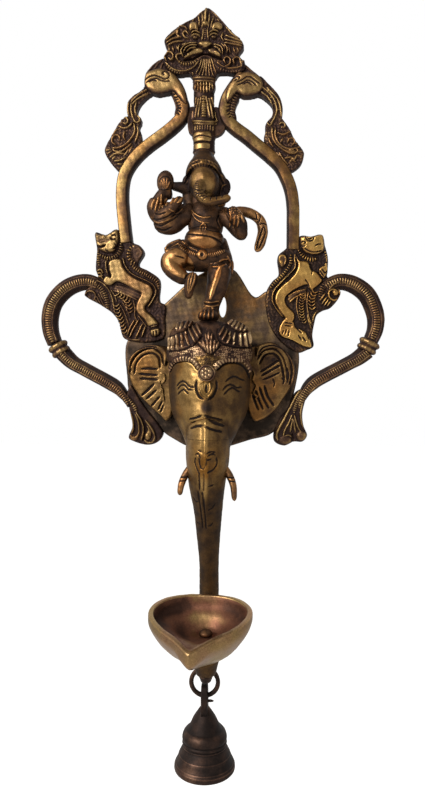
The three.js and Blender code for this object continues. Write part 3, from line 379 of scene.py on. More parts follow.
class Carving:
    """What is raised on and cut into the front of a casting, and how bright each spot is."""

    def __init__(self, piece, tone):
        self.piece = piece
        self.spots = read_spots(piece)
        self.plan = self.spots[:, (0, 2)]
        self.raised = np.zeros(len(self.spots))
        self.sunk = np.zeros(len(self.spots))
        self.gold = np.full(len(self.spots), float(tone))
        self.tone = tone
        self.bold = 1.0

    def near(self, line, half):
        low, high = line.min(0) - half, line.max(0) + half
        return np.where(np.all((self.plan > low) & (self.plan < high), axis=1))[0]

    def trace(self, half, line):
        line = flow(line, 5) if len(spots_of(line)) > 2 else spots_of(line)
        close = self.near(line, half)
        away, run, length = distances(self.plan[close], line)
        taper = 0.55 + 0.45 * ease(np.minimum(run, length - run), 0, half * 1.6)
        lift = np.clip(1 - (away / (half * taper)) ** 2, 0, 1)
        return close, lift, run

    def ridge(self, half, height, *lines, polish=0.85):
        for line in lines:
            close, lift, _ = self.trace(half * self.bold, line)
            self.raised[close] = np.maximum(self.raised[close], height * lift**1.3)
            bright = self.gold[close] + (polish - self.gold[close]) * ease(lift, 0.15, 0.75)
            self.gold[close] = np.where(lift > 0, bright, self.gold[close])

    def groove(self, half, depth, *lines):
        for line in lines:
            close, lift, _ = self.trace(half, line)
            self.sunk[close] = np.maximum(self.sunk[close], depth * lift**1.2)
            self.gold[close] *= 1 - 0.95 * ease(lift, 0.05, 0.6)

    def beads(self, half, height, pitch, *lines, polish=0.8):
        """A row of cross bars along each line, one to each pitch."""
        for line in lines:
            close, lift, run = self.trace(half, line)
            bar = 0.5 + 0.5 * np.cos(2 * math.pi * run / pitch)
            rise = lift**0.6 * (0.25 + 0.75 * bar)
            self.raised[close] = np.maximum(self.raised[close], height * rise)
            mix = ease(lift, 0.05, 0.4)
            shown = self.tone * 0.5 + (polish - self.tone * 0.5) * ease(bar, 0.25, 0.8)
            self.gold[close] += (shown - self.gold[close]) * mix

    def knob(self, at, size, height, polish=0.9):
        """A round or oval boss, size across by up."""
        u, v = ((self.plan - at) / (np.array(size) / 2)).T
        lift = np.sqrt(np.clip(1 - u**2 - v**2, 0, 1))
        self.raised = np.maximum(self.raised, height * lift)
        self.gold += (polish - self.gold) * ease(lift, 0.1, 0.6)

    def field(self, outline, steps):
        """The points inside an outline, and the outline as a smooth closed line."""
        edge = flow(outline, steps, closed=True)
        close = self.near(edge, 0.1)
        return close[inside(self.plan[close], edge)], edge

    def panel(self, height, polish, soft, *outlines):
        """Raised fields inside outlines, with a soft edge of the width given."""
        for outline in outlines:
            held, edge = self.field(outline, 5)
            away, _, _ = distances(self.plan[held], np.vstack([edge, edge[:1]]))
            lift = np.sqrt(1 - (1 - np.minimum(away / soft, 1)) ** 2)
            self.raised[held] = np.maximum(self.raised[held], height * lift)
            self.gold[held] += (polish - self.gold[held]) * ease(away, 0.1, soft * 0.6)

    def ground(self, height, size, low, high):
        """Works the whole front over with shallow wormy marks, as between motifs."""
        x, z = (self.plan * (math.pi / size)).T
        worm = np.sin(x + 1.9 * np.sin(0.7 * z + 0.4)) * np.sin(z + 2.1 * np.sin(0.8 * x + 1.3))
        self.raised += height * (0.5 + 0.5 * worm)
        self.gold[:] = low + (high - low) * ease(worm, -0.1, 0.7)

    def scales(self, half, height, wide, pitch, line, polish=0.6):
        """A column of small curved feathers along the line."""
        line = flow(line, 5)
        run = np.concatenate([[0], np.cumsum(np.linalg.norm(np.diff(line, axis=0), axis=1))])
        for at in np.arange(0, run[-1], pitch):
            spot, beyond = (
                np.array([np.interp(where, run, line[:, k]) for k in (0, 1)])
                for where in (at, at + 0.5)
            )
            ahead = (beyond - spot) / max(np.linalg.norm(beyond - spot), 1e-6)
            aside = np.array([-ahead[1], ahead[0]]) * wide
            hook = ahead * wide * 0.55
            arc = [spot + aside - hook, spot + aside * 0.6, spot + hook * 0.5, spot - aside * 0.6,
                spot - aside - hook]
            self.ridge(half, height, arc, polish=polish)

    def stipple(self, height, size, outline):
        """A field of small wormy bumps inside an outline."""
        held, _ = self.field(outline, 4)
        x, z = (self.plan[held] * (math.pi / size)).T
        worm = np.sin(x + 1.7 * np.sin(0.8 * z + 0.3)) * np.sin(z + 1.9 * np.sin(0.7 * x + 1.1))
        self.raised[held] += height * (0.5 + 0.5 * worm)
        self.gold[held] = 0.25 + 0.5 * ease(worm, -0.2, 0.5)

    def relief(self, front, back=0.0, edge=1.2, outline=None, uneven=0.12):
        """Gives a flat blank its carved front, rounded off along its outline."""
        spots = self.spots
        height = front + self.raised - self.sunk + uneven * ripple(spots, 2.6)
        if outline is not None:
            away, _, _ = distances(self.plan, np.vstack([outline, outline[:1]]))
            drop = edge * (1 - np.sqrt(1 - (1 - np.minimum(away / edge, 1)) ** 2))
            height = height - drop
            # Darker along the rounded-off rim.
            self.gold *= 0.35 + 0.65 * ease(away, 0.1, edge * 0.8)
        share = np.clip((-spots[:, 1] - back) / (front - back), 0, 1)
        spots = spots.copy()
        spots[:, 1] = -(back + share * (height - back))
        write_spots(self.piece, spots)
        # Painted shade: the skin that turns away from the front is darkened.
        facing = ease(-read_normals(self.piece)[:, 1], 0.15, 0.7)
        self.gold *= 0.12 + 0.88 * facing
        self.gold += 0.03

    def chase(self, uneven=0.08, painted_side_shade=0.5):
        """Works the marks into a rounded casting, square to its skin, where it faces forward."""
        normals = read_normals(self.piece)
        facing = ease(-normals[:, 1], 0.0, 0.45)
        move = (self.raised - self.sunk) * facing + uneven * ripple(self.spots, 2.6)
        write_spots(self.piece, self.spots + normals * move[:, None])
        self.gold = self.tone + (self.gold - self.tone) * facing
        # Painted shade: the skin that turns sideways or away from the front is darkened.
        self.gold *= 1 - painted_side_shade * (1 - ease(-normals[:, 1], -0.3, 0.5))

    def finish(self, reach, strength, metal, slot, *nodes):
        """Stores the carved piece's patina, polish and painted light and shade, and puts it in
        the place of its nodes.
        """
        weather(self.piece, self.gold, reach, strength)
        hand_over(self.piece, "root", metal, slot, *nodes)


def flat_casting(name, outline, front, tone, grain=GRAIN, back=0.0):
    """A flat blank with one outline, ready to be carved."""
    return Carving(fuse(name, [slab("blank", outline, back, front)], grain), tone)


def hand_over(piece, body, metal, slot, *nodes):
    """The finished piece takes the place of its CAD nodes."""
    take(piece)
    bpy.ops.object.shade_smooth()
    piece.data.materials.clear()
    piece.data.materials.append(metal)
    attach(piece, body)
    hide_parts(*nodes)


# Finishes


def add(tree, kind, inputs, **settings):
    """A shader node whose inputs are linked to outputs of other nodes or set to a value."""
    node = tree.nodes.new("ShaderNode" + kind)
    for setting, value in settings.items():
        setattr(node, setting, value)
    for socket, value in inputs.items():
        if isinstance(value, bpy.types.NodeSocket):
            tree.links.new(value, node.inputs[socket])
        else:
            node.inputs[socket].default_value = value
    return node


def spread(tree, source, low, high, to_low=0.0, to_high=1.0, kind="SMOOTHSTEP"):
    """Takes a value from the range low to high over to the range to_low to to_high."""
    ranges = {"From Min": low, "From Max": high, "To Min": to_low, "To Max": to_high}
    return add(tree, "MapRange", {"Value": source, **ranges},
        interpolation_type=kind).outputs["Result"]


def combined(tree, operation, first, second):
    return add(tree, "Math", {0: first, 1: second}, operation=operation).outputs["Value"]


def aged_metal(name, bright, warm, middle, recess, mottle=1.0):
    """Metal with dark tarnish in its recesses, a worn, uneven polish where it stands proud, and
    the painted light and shade of each piece.
    """
    metal = bpy.data.materials.new(name)
    metal.use_nodes = True
    tree = metal.node_tree
    place = add(tree, "TexCoord", {}).outputs["Object"]
    # The attribute is patina and polish together with painted highlights and painted shade.
    patina_and_painted_light = add(tree, "Attribute", {}, attribute_name="patina_and_painted_light").outputs["Fac"]

    def noise(scale, detail):
        inputs = {"Vector": place, "Scale": scale, "Detail": detail}
        return add(tree, "TexNoise", inputs).outputs["Fac"]

    def mixed(share, first, second):
        inputs = {"Factor": share, "A": first, "B": second}
        return add(tree, "Mix", inputs, data_type="RGBA").outputs["Result"]

    blotches = noise(150, 4)
    shine = combined(tree, "ADD", patina_and_painted_light,
        spread(tree, blotches, 0.3, 0.7, -0.2 * mottle, 0.17 * mottle))
    top = mixed(spread(tree, noise(42, 2), 0.42, 0.66), (*bright, 1), (*warm, 1))
    low = mixed(spread(tree, shine, 0.05, 0.42), (*recess, 1), (*middle, 1))
    colour = mixed(spread(tree, shine, 0.34, 0.82), low, top)
    speckle = spread(tree, noise(1300, 3), 0.3, 0.75, 0.76, 1.1)
    speckled = add(tree, "VectorMath", {0: colour, "Scale": speckle}, operation="SCALE")
    worn = spread(tree, shine, 0.1, 0.9, 0.62, 0.34)
    rough = combined(tree, "ADD", worn, spread(tree, blotches, 0.35, 0.7, -0.05, 0.07))
    bump = add(tree, "Bump", {"Strength": 0.25, "Distance": 0.0002, "Height": noise(700, 5)})
    for socket, source in (("Base Color", speckled.outputs["Vector"]), ("Metallic",
        spread(tree, shine, 0.1, 0.7, 0.82, 1.0)), ("Roughness", rough),
        ("Normal", bump.outputs["Normal"])):
        tree.links.new(source, tree.nodes["Principled BSDF"].inputs[socket])
    return metal


gold_brass = aged_metal("gold_brass", (0.34, 0.215, 0.085), (0.29, 0.15, 0.06),
    (0.105, 0.055, 0.032), (0.03, 0.015, 0.012))
golden_brass = aged_metal("golden_brass", (0.62, 0.37, 0.11), (0.44, 0.22, 0.065),
    (0.09, 0.048, 0.028), (0.024, 0.013, 0.01))
band_brass = aged_metal("band_brass", (0.29, 0.178, 0.064), (0.27, 0.13, 0.042),
    (0.1, 0.052, 0.028), (0.025, 0.013, 0.01))
plate_brass = aged_metal("plate_brass", (0.28, 0.18, 0.08), (0.26, 0.125, 0.045),
    (0.11, 0.07, 0.045), (0.026, 0.017, 0.011))
olive_brass = aged_metal("olive_brass", (0.28, 0.185, 0.065), (0.28, 0.15, 0.045),
    (0.09, 0.055, 0.022), (0.02, 0.012, 0.009))
face_brass = aged_metal("face_brass", (0.35, 0.208, 0.072), (0.255, 0.114, 0.025),
    (0.085, 0.045, 0.018), (0.016, 0.009, 0.007), mottle=0.6)
amber_brass = aged_metal("amber_brass", (0.27, 0.16, 0.06), (0.29, 0.135, 0.04),
    (0.1, 0.052, 0.024), (0.022, 0.012, 0.01))
crown_brass = aged_metal("crown_brass", (0.47, 0.32, 0.17), (0.38, 0.21, 0.115),
    (0.12, 0.06, 0.035), (0.02, 0.01, 0.008))
copper_brass = aged_metal("copper_brass", (0.4, 0.2, 0.075), (0.34, 0.14, 0.045),
    (0.095, 0.048, 0.026), (0.02, 0.011, 0.008))
bowl_brass = aged_metal("bowl_brass", (0.33, 0.215, 0.085), (0.34, 0.2, 0.1), (0.2, 0.085, 0.048),
    (0.05, 0.022, 0.014), mottle=0.4)
dark_brass = aged_metal("dark_brass", (0.15, 0.085, 0.055), (0.1, 0.055, 0.04),
    (0.042, 0.025, 0.019), (0.016, 0.01, 0.008))
worn_steel = aged_metal("worn_steel", (0.36, 0.35, 0.33), (0.3, 0.28, 0.26), (0.16, 0.14, 0.13),
    (0.05, 0.035, 0.03))


# Crest: a lion mask with a curled mane under a pointed top

crest_outline = flow([-9, 2444, 43, -28, 98, -114, 87, -98, -31, -58, 38, -52, -10, -50, -40, -14,
    -66, 8, -48, -2, -28, -34, -124, 0, -34, 36, -68, -4, -61, 28, -35, 62, 28, 56, -19, 74,
    102, 91, 81, 34], 6, closed=True)


def make_crest():
    front = 6.6
    sheet = slab("blank", crest_outline, 0, front)
    pocket = flow([-116, 2287, 0, -121, 0, -121, 81, 0, 81, 0, 0, 121, 0, 121, -81, 0], 6,
        closed=True)
    hollow(sheet, slab("pocket", pocket, -1, 1.6))
    hollow(sheet, drill(HANGER_X, 216.6, 5.4, 8.4, 0, 3.8))
    work = Carving(fuse("crest_casting", [sheet], grain=0.34), 0.1)
    work.ground(0.4, 2.2, 0.05, 0.28)
    # tongue and rays at the top
    work.ridge(1.9, 2.0, [-15, 2431, -3, -45, -3, -35], polish=0.7)
    work.groove(0.5, 0.8, [-8, 2411, -1, -34, -6, -26])
    work.knob((-2.2, 233.9), (4.8, 3.6), 2.6, polish=0.8)
    work.ridge(0.7, 1.5, [-41, 2404, 4, -44, -4, -43], [-64, 2388, 6, -36, -2, -30],
        [6, 2402, -3, -52, -5, -34], [33, 2377, -13, -34, -6, -32], [-91, 2375, -4, -12, -9, -9],
        [53, 2366, 9, -14, 9, -6], polish=0.42)
    work.ridge(0.8, 1.0, [-260, 2254, 77, 68, 88, 60, 66, 42],
        [17, 2423, 63, -65, 69, -76, 56, -66], polish=0.3)
    # brows, eyes and nose
    work.panel(2.6, 0.78, 1.6, [-125, 2307, 4, 32, 24, 13, 28, -10, 9, -29, -5, -23, -30, 8,
        -19, -8])
    work.panel(2.6, 0.74, 1.6, [17, 2302, 7, 30, 28, 12, 31, -11, 7, -30, -19, -13, -26, 8,
        -18, -11])
    work.ridge(0.75, 2.7, [-107, 2279, 23, 12, 28, -12], [-105, 2260, 22, 11, 28, -11],
        [8, 2277, 24, 15, 27, -8], [6, 2258, 25, 13, 24, -7], polish=0.85)
    work.groove(0.5, 0.8, [-104, 2270, 20, 10, 27, -11], [8, 2266, 23, 14, 26, -7])
    for x, z in ((-8.4, 225.2), (3.2, 225.0)):
        work.knob((x, z), (3.4, 2.4), 2.4, polish=0.55)
        work.knob((x, z), (1.3, 1.3), 1.2, polish=0.05)
    work.ridge(0.8, 1.5, [-33, 2310, -3, -42, -6, -29], [-7, 2309, 2, -42, 4, -30], polish=0.3)
    work.beads(0.8, 1.0, 1.3, [-20, 2310, -1, -72], polish=0.3)
    work.panel(3.7, 0.85, 2.0, [-68, 2212, 19, 12, 31, 1, 28, -5, 17, -12, -7, -16, -25, -14,
        -20, -1, -24, 6, -14, 14])
    work.groove(0.6, 1.4, [-59, 2198, 10, -9, 16, -1], [-5, 2185, 13, 2, 12, 11])
    # muzzle, lips and chin
    work.panel(2.3, 0.66, 1.4, [-63, 2189, 30, -14, -5, -18, -30, -7, -41, -13, -32, -14, -15, 4,
        15, 22, 28, 20, 26, 14])
    work.panel(2.3, 0.46, 1.4, [-7, 2172, 28, 13, 28, -13, 21, -23, 9, -22, -20, -1, -28, 15,
        -32, 15])
    work.ridge(0.8, 2.9, [-76, 2214, -41, 1, -35, -15, -19, -29, 7, -27],
        [-72, 2202, -37, 0, -30, -14, -17, -27], [-81, 2188, -32, -6, -22, -18],
        [-95, 2150, -25, -11, -21, -7], [-79, 2164, -30, -10, -23, -13],
        [31, 2201, 29, -5, 25, -21, 3, -30], [36, 2188, 24, -12, 17, -25],
        [98, 2199, 18, -22, -2, -27], [-179, 2208, -9, -20, 4, -21], [40, 2158, 19, -10, 13, -14],
        polish=0.72)
    work.groove(0.9, 2.0, [-156, 2118, 47, 4, 46, 19, 30, 8, 26, -1, 34, -12, 41, -16, 24, -5])
    work.ridge(0.7, 1.2, [-49, 2133, 22, 5, 20, -2, 25, -11], polish=0.12)
    work.ridge(0.62, 1.5, [-29, 2123, -12, -58, -21, -50], [-21, 2123, -6, -59, -12, -52],
        [-12, 2123, -2, -59, -2, -52], [-3, 2122, 4, -59, 5, -52], [6, 2122, 9, -59, 14, -49],
        [-41, 2124, -15, -50, -23, -43], [17, 2122, 15, -51, 15, -44], polish=0.45)
    # mane: curls and locks
    for lock, polish in (([-266, 2243, 26, 25, 38, 24], 0.75), ([-263, 2227, 37, 23, 45, 9], 0.7),
        ([-255, 2211, 37, 18, 55, 5], 0.6), ([-216, 2280, 25, 22, -6, -30, 25, -13], 0.7),
        ([123, 2292, 30, -30, 41, -21], 0.6), ([106, 2258, 43, -15, 57, -22], 0.75),
        ([101, 2235, 44, -12, 65, -18], 0.7), ([101, 2214, 44, -8, 60, -15], 0.5),
        ([-126, 2277, -21, 20, -13, -19, 11, -20, 21, -7], 0.5),
        ([90, 2276, -10, -26, 13, -25], 0.4), ([-183, 2329, 36, -8, 13, -14], 0.35),
        ([106, 2312, 17, -15, 22, -6], 0.35), ([-248, 2201, 4, -27], 0.42),
        ([-225, 2203, 6, -30], 0.42), ([-198, 2206, 5, -30], 0.42), ([127, 2185, 6, -32], 0.4),
        ([153, 2182, 10, -30], 0.4), ([177, 2181, 7, -22], 0.4),
        ([80, 2208, 15, -18, 6, -13], 0.4), ([-139, 2225, -8, -10, -18, -5], 0.4)):
        work.ridge(0.95, 1.9, lock, polish=polish)
    for curl, polish in (([-265, 2114, -11, 33, 19, 21, 29, -10, 7, -25, -14, -15, -14, 13],
        0.72), ([-191, 2111, -11, 27, 14, 14, 23, -3, 5, -12], 0.75),
        ([106, 2084, -11, 23, 19, 17, 21, -17, -5, -27, -30, -17], 0.6),
        ([158, 2082, -5, 25, 19, 13, 22, -11, 4, -28], 0.5), ([203, 2058, 2, 30, 15, 11], 0.4)):
        work.ridge(1.05, 2.5, curl, polish=polish)
    work.beads(1.3, 1.8, 1.5, [-193, 2117, 30, -20, 44, -5, 45, 17], polish=0.62)
    work.ridge(0.85, 1.8, [-270, 2105, 52, -45, 71, -11, 52, 20, 33, 38], polish=0.5)
    work.beads(1.5, 1.4, 1.7, [-263, 2088, 45, -47, 71, -15, 59, 9], polish=0.48)
    work.ridge(0.8, 1.6, [52, 2096, 28, -22, 34, -16, 44, 0, 45, 7], polish=0.5)
    work.beads(1.3, 1.2, 1.7, [62, 2061, 52, -26, 52, -3, 35, 7], polish=0.35)
    work.ridge(0.8, 1.3, [-183, 2013, 44, -4, 44, 1], polish=0.35)
    work.relief(front, edge=1.6, outline=crest_outline)
    work.finish(8, 0.6, gold_brass, "gold_brass", "crest")


# Bird heads, with the leaf drops that hang from their beaks


def bird_blank(name, dome, beak, web, throat, throat_step, shine):
    """The flat parts of a bird head stuck together, its dome already raised."""
    parts = [slab("blank", outline, 0, BIRD_FRONT - step) for outline, step in ((dome, 0),
        (beak, 0.6), (web, 2.4), (throat, throat_step))]
    work = Carving(fuse(name, parts, grain=0.36), 0.16)
    work.ground(0.3, 2.2, 0.05, 0.22)
    work.panel(1.9, shine, 3.4, dome[::6])
    return work


def make_left_bird():
    dome = flow([-404, 2006, 11, 38, 38, 21, 49, 10, 50, -15, 44, -28, 33, -38, 29, -52, 15, -52,
        -6, -46, -26, 17, -28, 31, -27, 32, -47, -4, -56, -5, -55, 24, -23, 34], 6, closed=True)
    beak = flow([-387, 2028, -19, -57, -19, -28, -44, -27, -39, -38, -9, -47, 7, -48, 22, -30,
        24, -17, 32, 4, 7, 26, -20, 20, -7, 24, 12, 38, 29, 37, 34, 28, 19, 14], 4, closed=True)
    web = flow([-288, 2146, -39, -18, -56, -47, -20, -39, 44, -37, 141, -4, 27, 9, -62, 62], 5,
        closed=True)
    throat = flow([-240, 1934, 42, -5, 23, -56, 2, -75, -19, -39, -26, 29, 6, 49, -12, 46], 5,
        closed=True)
    work = bird_blank("left_bird_head_casting", dome, beak, web, throat, 2.6, 0.8)
    work.groove(0.5, 0.9, [-401, 1999, 31, 18, 35, 7, 34, -12, 32, -13, 23, 16, -4, 24, -22, 10,
        -15, -10, 11, -12], [-391, 1982, 34, 16, 34, 6, 36, -14, 47, -5],
        [-370, 1985, 24, 12, 23, -8])
    work.groove(0.5, 1.0, [-422, 1979, 21, -56], [-409, 1973, 22, -55], [-397, 1964, 24, -50])
    work.ridge(0.85, 1.6, [-387, 1947, -38, -21, -34, -25, -29, -28],
        [-379, 1923, -37, -19, -38, -22, -24, -24], [-503, 1869, -6, -38, 5, -49],
        [-487, 1863, -1, -52, 15, -51], [-474, 1762, 15, -20, 22, 4, 0, 24, -11, 12],
        [-454, 1867, -10, -38, 6, -43], polish=0.68)
    work.ridge(0.9, 1.3, [-297, 2136, -26, -24, -18, -25], [-315, 2133, -39, -30, -22, -27],
        [-283, 2125, -14, -21, -7, -20], polish=0.35)
    work.relief(BIRD_FRONT, edge=1.6, uneven=0.08)
    work.finish(10, 0.45, gold_brass, "gold_brass", "left_bird_head")


def make_right_bird():
    dome = flow([103, 1874, 10, 55, 25, 46, 23, 31, 39, 22, 53, 8, 46, -17, 34, -41, 5, -47,
        -22, -29, -53, -16, -51, 1, -37, 20, -19, -16, -18, -28, -24, -17], 6, closed=True)
    beak = flow([318, 2010, 43, -39, 37, -39, 38, -48, 19, -53, 4, -47, -9, -47, -24, -32,
        -28, -19, -33, 6, -4, 24, 23, 27, 14, 43, -5, 37, -28, 34, -37, 30, -29, 15], 4,
        closed=True)
    web = flow([201, 2109, 59, -46, 67, -59, 21, -56, -95, 38, -78, 2, -22, 1, 18, 60], 5,
        closed=True)
    throat = flow([179, 1907, -28, -7, -27, -55, -4, -83, 27, -29, 25, 18, -8, 56, 10, 37,
        16, 36], 5, closed=True)
    work = bird_blank("right_bird_head_casting", dome, beak, web, throat, 1.4, 0.76)
    work.groove(0.5, 0.9, [174, 1968, 31, 10, 30, 19, 28, -2, 25, -20, 30, -21],
        [179, 1949, 33, 12, 30, 16, 26, -10, 28, -25], [216, 1952, 28, 12, 26, -18],
        [156, 1993, 19, 12, 19, -8, -7, -13], [161, 1976, 15, 9])
    work.ridge(0.8, 1.6, [337, 1934, 38, -34, 28, -39, 14, -38, 4, -38, -13, -37, -23, -39],
        [361, 1933, 37, -39, 33, -43, 13, -53, 6, -47], [328, 1906, 33, -25, 25, -38, 10, -38],
        [361, 1720, 15, -20, 18, 9], polish=0.6)
    work.ridge(0.6, 1.6, [361, 1904, 13, 9], [382, 1869, 16, 8], [404, 1830, 17, 8],
        [417, 1790, 17, 7], polish=0.5)
    work.ridge(0.9, 1.3, [210, 2093, 34, -29, 18, -18], [231, 2082, 48, -45, 26, -18],
        [192, 2083, 9, -22, 11, -18], polish=0.35)
    for row in range(9):
        x = 18.2 - 0.5 * math.sin(row / 2.4) - 0.28 * row
        z = 189.4 - 19 * row * 0.0872
        work.ridge(0.55, 1.5, [(x, z), (x - 2.6, z + 0.9)], polish=0.35)
    work.relief(BIRD_FRONT, edge=1.6, uneven=0.08)
    work.finish(10, 0.45, gold_brass, "gold_brass", "right_bird_head")


def drop_blank(name, outline):
    """A leaf drop before its leaves are raised."""
    work = flat_casting(name, outline, DROP_FRONT, 0.08, 0.34)
    work.ground(0.5, 1.9, 0.06, 0.34)
    work.bold = 1.4
    return work


def make_left_drop():
    outline = flow([-485, 1795, -73, -38, -49, -76, -53, -100, 9, -39, 44, -63, 44, -35, 137, 166,
        -1, 62, -12, 43, 13, 31, -19, 28], 6, closed=True)
    work = drop_blank("left_leaf_drop_casting", outline)
    work.ridge(0.72, 1.7, [-551, 1759, 4, 15, 20, 3, 18, -23, -12, -20, -20, 6],
        [-566, 1721, 29, -15, 34, 8, 21, 25],
        [-470, 1734, 4, -48, -21, -43, -30, -33, -44, -24, -44, -3],
        [-448, 1719, 4, -44, -19, -57], [-488, 1608, -24, -23, -39, -23, -38, 1, -16, 11],
        [-562, 1635, -1, 19, -20, 12, -23, -15, -3, -29, 20, -16], [-600, 1545, 30, 5, 34, -3],
        [-595, 1502, 39, 4, 34, 18], [-576, 1482, 34, -1], [-527, 1687, -10, -28, 8, -25],
        polish=0.66)
    work.ridge(0.6, 1.0, [-649, 1570, 31, 9], [-639, 1550, 25, 14], [-624, 1525, 25, 24],
        [-610, 1511, 21, 23], [-600, 1689, 24, 14], [-614, 1665, 21, 21], [-503, 1576, -29, -40],
        [-483, 1595, -20, -43], polish=0.6)
    work.relief(DROP_FRONT, edge=1.2, outline=outline)
    work.finish(8, 0.5, gold_brass, "gold_brass", "left_leaf_drop")


def make_right_drop():
    outline = flow([420, 1775, 77, -87, 33, -69, 58, -82, 2, -24, -25, -61, -80, -38, -142, 204,
        7, 43, 2, 49, 28, 37], 6, closed=True)
    work = drop_blank("right_leaf_drop_casting", outline)
    work.ridge(0.72, 1.7, [393, 1686, 1, -47, 15, -43, 32, -34, 42, -25, 48, -1],
        [413, 1680, 0, -46, 19, -43, 37, -30, 37, -10, 34, 4],
        [445, 1557, 52, -30, 38, -1, 14, 15, -15, 19],
        [437, 1703, 13, 11, 20, -6, -1, -20, -19, -4], [427, 1652, 32, -11, 48, 19],
        [488, 1593, 9, 20, 24, 4, 10, -24, -15, -19], [473, 1495, 34, 5, 24, -11, 14, 24],
        [502, 1471, 14, 14, 19, -15], [371, 1620, 13, -32, 15, -21],
        [436, 1530, 23, -39, 28, -33], polish=0.66)
    work.knob((51.1, 154.2), (3.6, 1.6), 1.4)
    work.ridge(0.55, 1.0, [534, 1583, 25, 10], [544, 1559, 24, 5], [548, 1535, 29, 1],
        [544, 1512, 29, -4], [422, 1530, 19, -24], [459, 1619, -14, -24], polish=0.6)
    work.relief(DROP_FRONT, edge=1.2, outline=outline)
    work.finish(8, 0.5, gold_brass, "gold_brass", "right_leaf_drop")


# Arch bands: the long necks of the birds, polished on the front, with patina and painted shade on
# the inner slope


def band_outline(line, half):
    """The closed outline of a band that reaches half its width to each side of the line."""
    _, square = arrows(line)
    return np.vstack([line + square * half[:, None], (line - square * half[:, None])[::-1]])


def side_of(plan, line):
    """How far each point lies to the left of the line's heading, in millimetres."""
    away = np.full(len(plan), 1e9)
    side = np.zeros(len(plan))
    for a, b in zip(line[:-1], line[1:]):
        step = (b - a) / max(np.linalg.norm(b - a), 1e-6)
        off = plan - a
        along = np.clip(off @ step, 0, np.linalg.norm(b - a))
        gap = np.linalg.norm(off - along[:, None] * step, axis=1)
        left = step[0] * off[:, 1] - step[1] * off[:, 0]
        closer = gap < away
        away[closer] = gap[closer]
        side[closer] = np.where(left[closer] > 0, gap[closer], -gap[closer])
    return side


left_neck = flow([-268, 2046, 57, -83, 31, -70, 22, -57, -12, -59, -48, -54, -69, -55, -82, -57,
    -67, -55, -53, -59, -39, -65, -16, -62, -5, -101, 15, -176, 13, -107], 6)
right_neck = flow([213, 2031, -62, -79, -40, -67, -16, -75, 19, -62, 50, -51, 68, -52, 74, -64,
    74, -63, 62, -64, 43, -81, 25, -75, 12, -92, 1, -93, -1, -183], 6)


def make_band(name, node, line, inner):
    """inner is 1 where the shaded inner slope lies to the left of the line's heading."""
    half = BAND_WIDTH / 2
    outline = band_outline(line, np.full(len(line), half))
    work = flat_casting(name, outline, BAND_FRONT, 0.66)
    side = side_of(work.plan, line) * inner
    work.sunk += 0.45 * (side / half) ** 2 + 1.6 * ease(side, half - 1.3, half)
    # Patina and painted shade on the inner slope, and painted shade towards it and along the
    # outer edge.
    work.gold *= 1 - 0.9 * ease(side, half - 1.9, half - 1.1)
    work.gold *= 1 - 0.3 * ease(side, -0.5, half - 1.9)
    work.gold *= 1 - 0.5 * ease(-side, half - 0.7, half)
    run = np.linspace(0, 1, len(line))
    heading, square = arrows(line)
    square = square * inner
    throat = ease(work.plan[:, 1], 176, 179) * ease(-work.plan[:, 1], -198, -195)
    work.gold *= 1 - 0.6 * ease(-side, 2.2, 3.4) * throat
    for at in np.arange(0.1, 0.268, 0.0205):
        k = int(np.searchsorted(run, at))
        root = line[k] - square[k] * 4.3
        tip = line[k] - square[k] * 1.5 + heading[k] * 0.9
        work.groove(0.5, 1.3, [root, tip])
    work.relief(BAND_FRONT, edge=0.8, outline=outline, uneven=0.08)
    work.gold *= 1 - 0.14 * ease(-work.plan[:, 1], -150, -120)
    work.finish(8, 0.4, band_brass, "gold_brass", node)


# Centre staff with its rings, fringe and leaves, and the webs that tie it to the arch


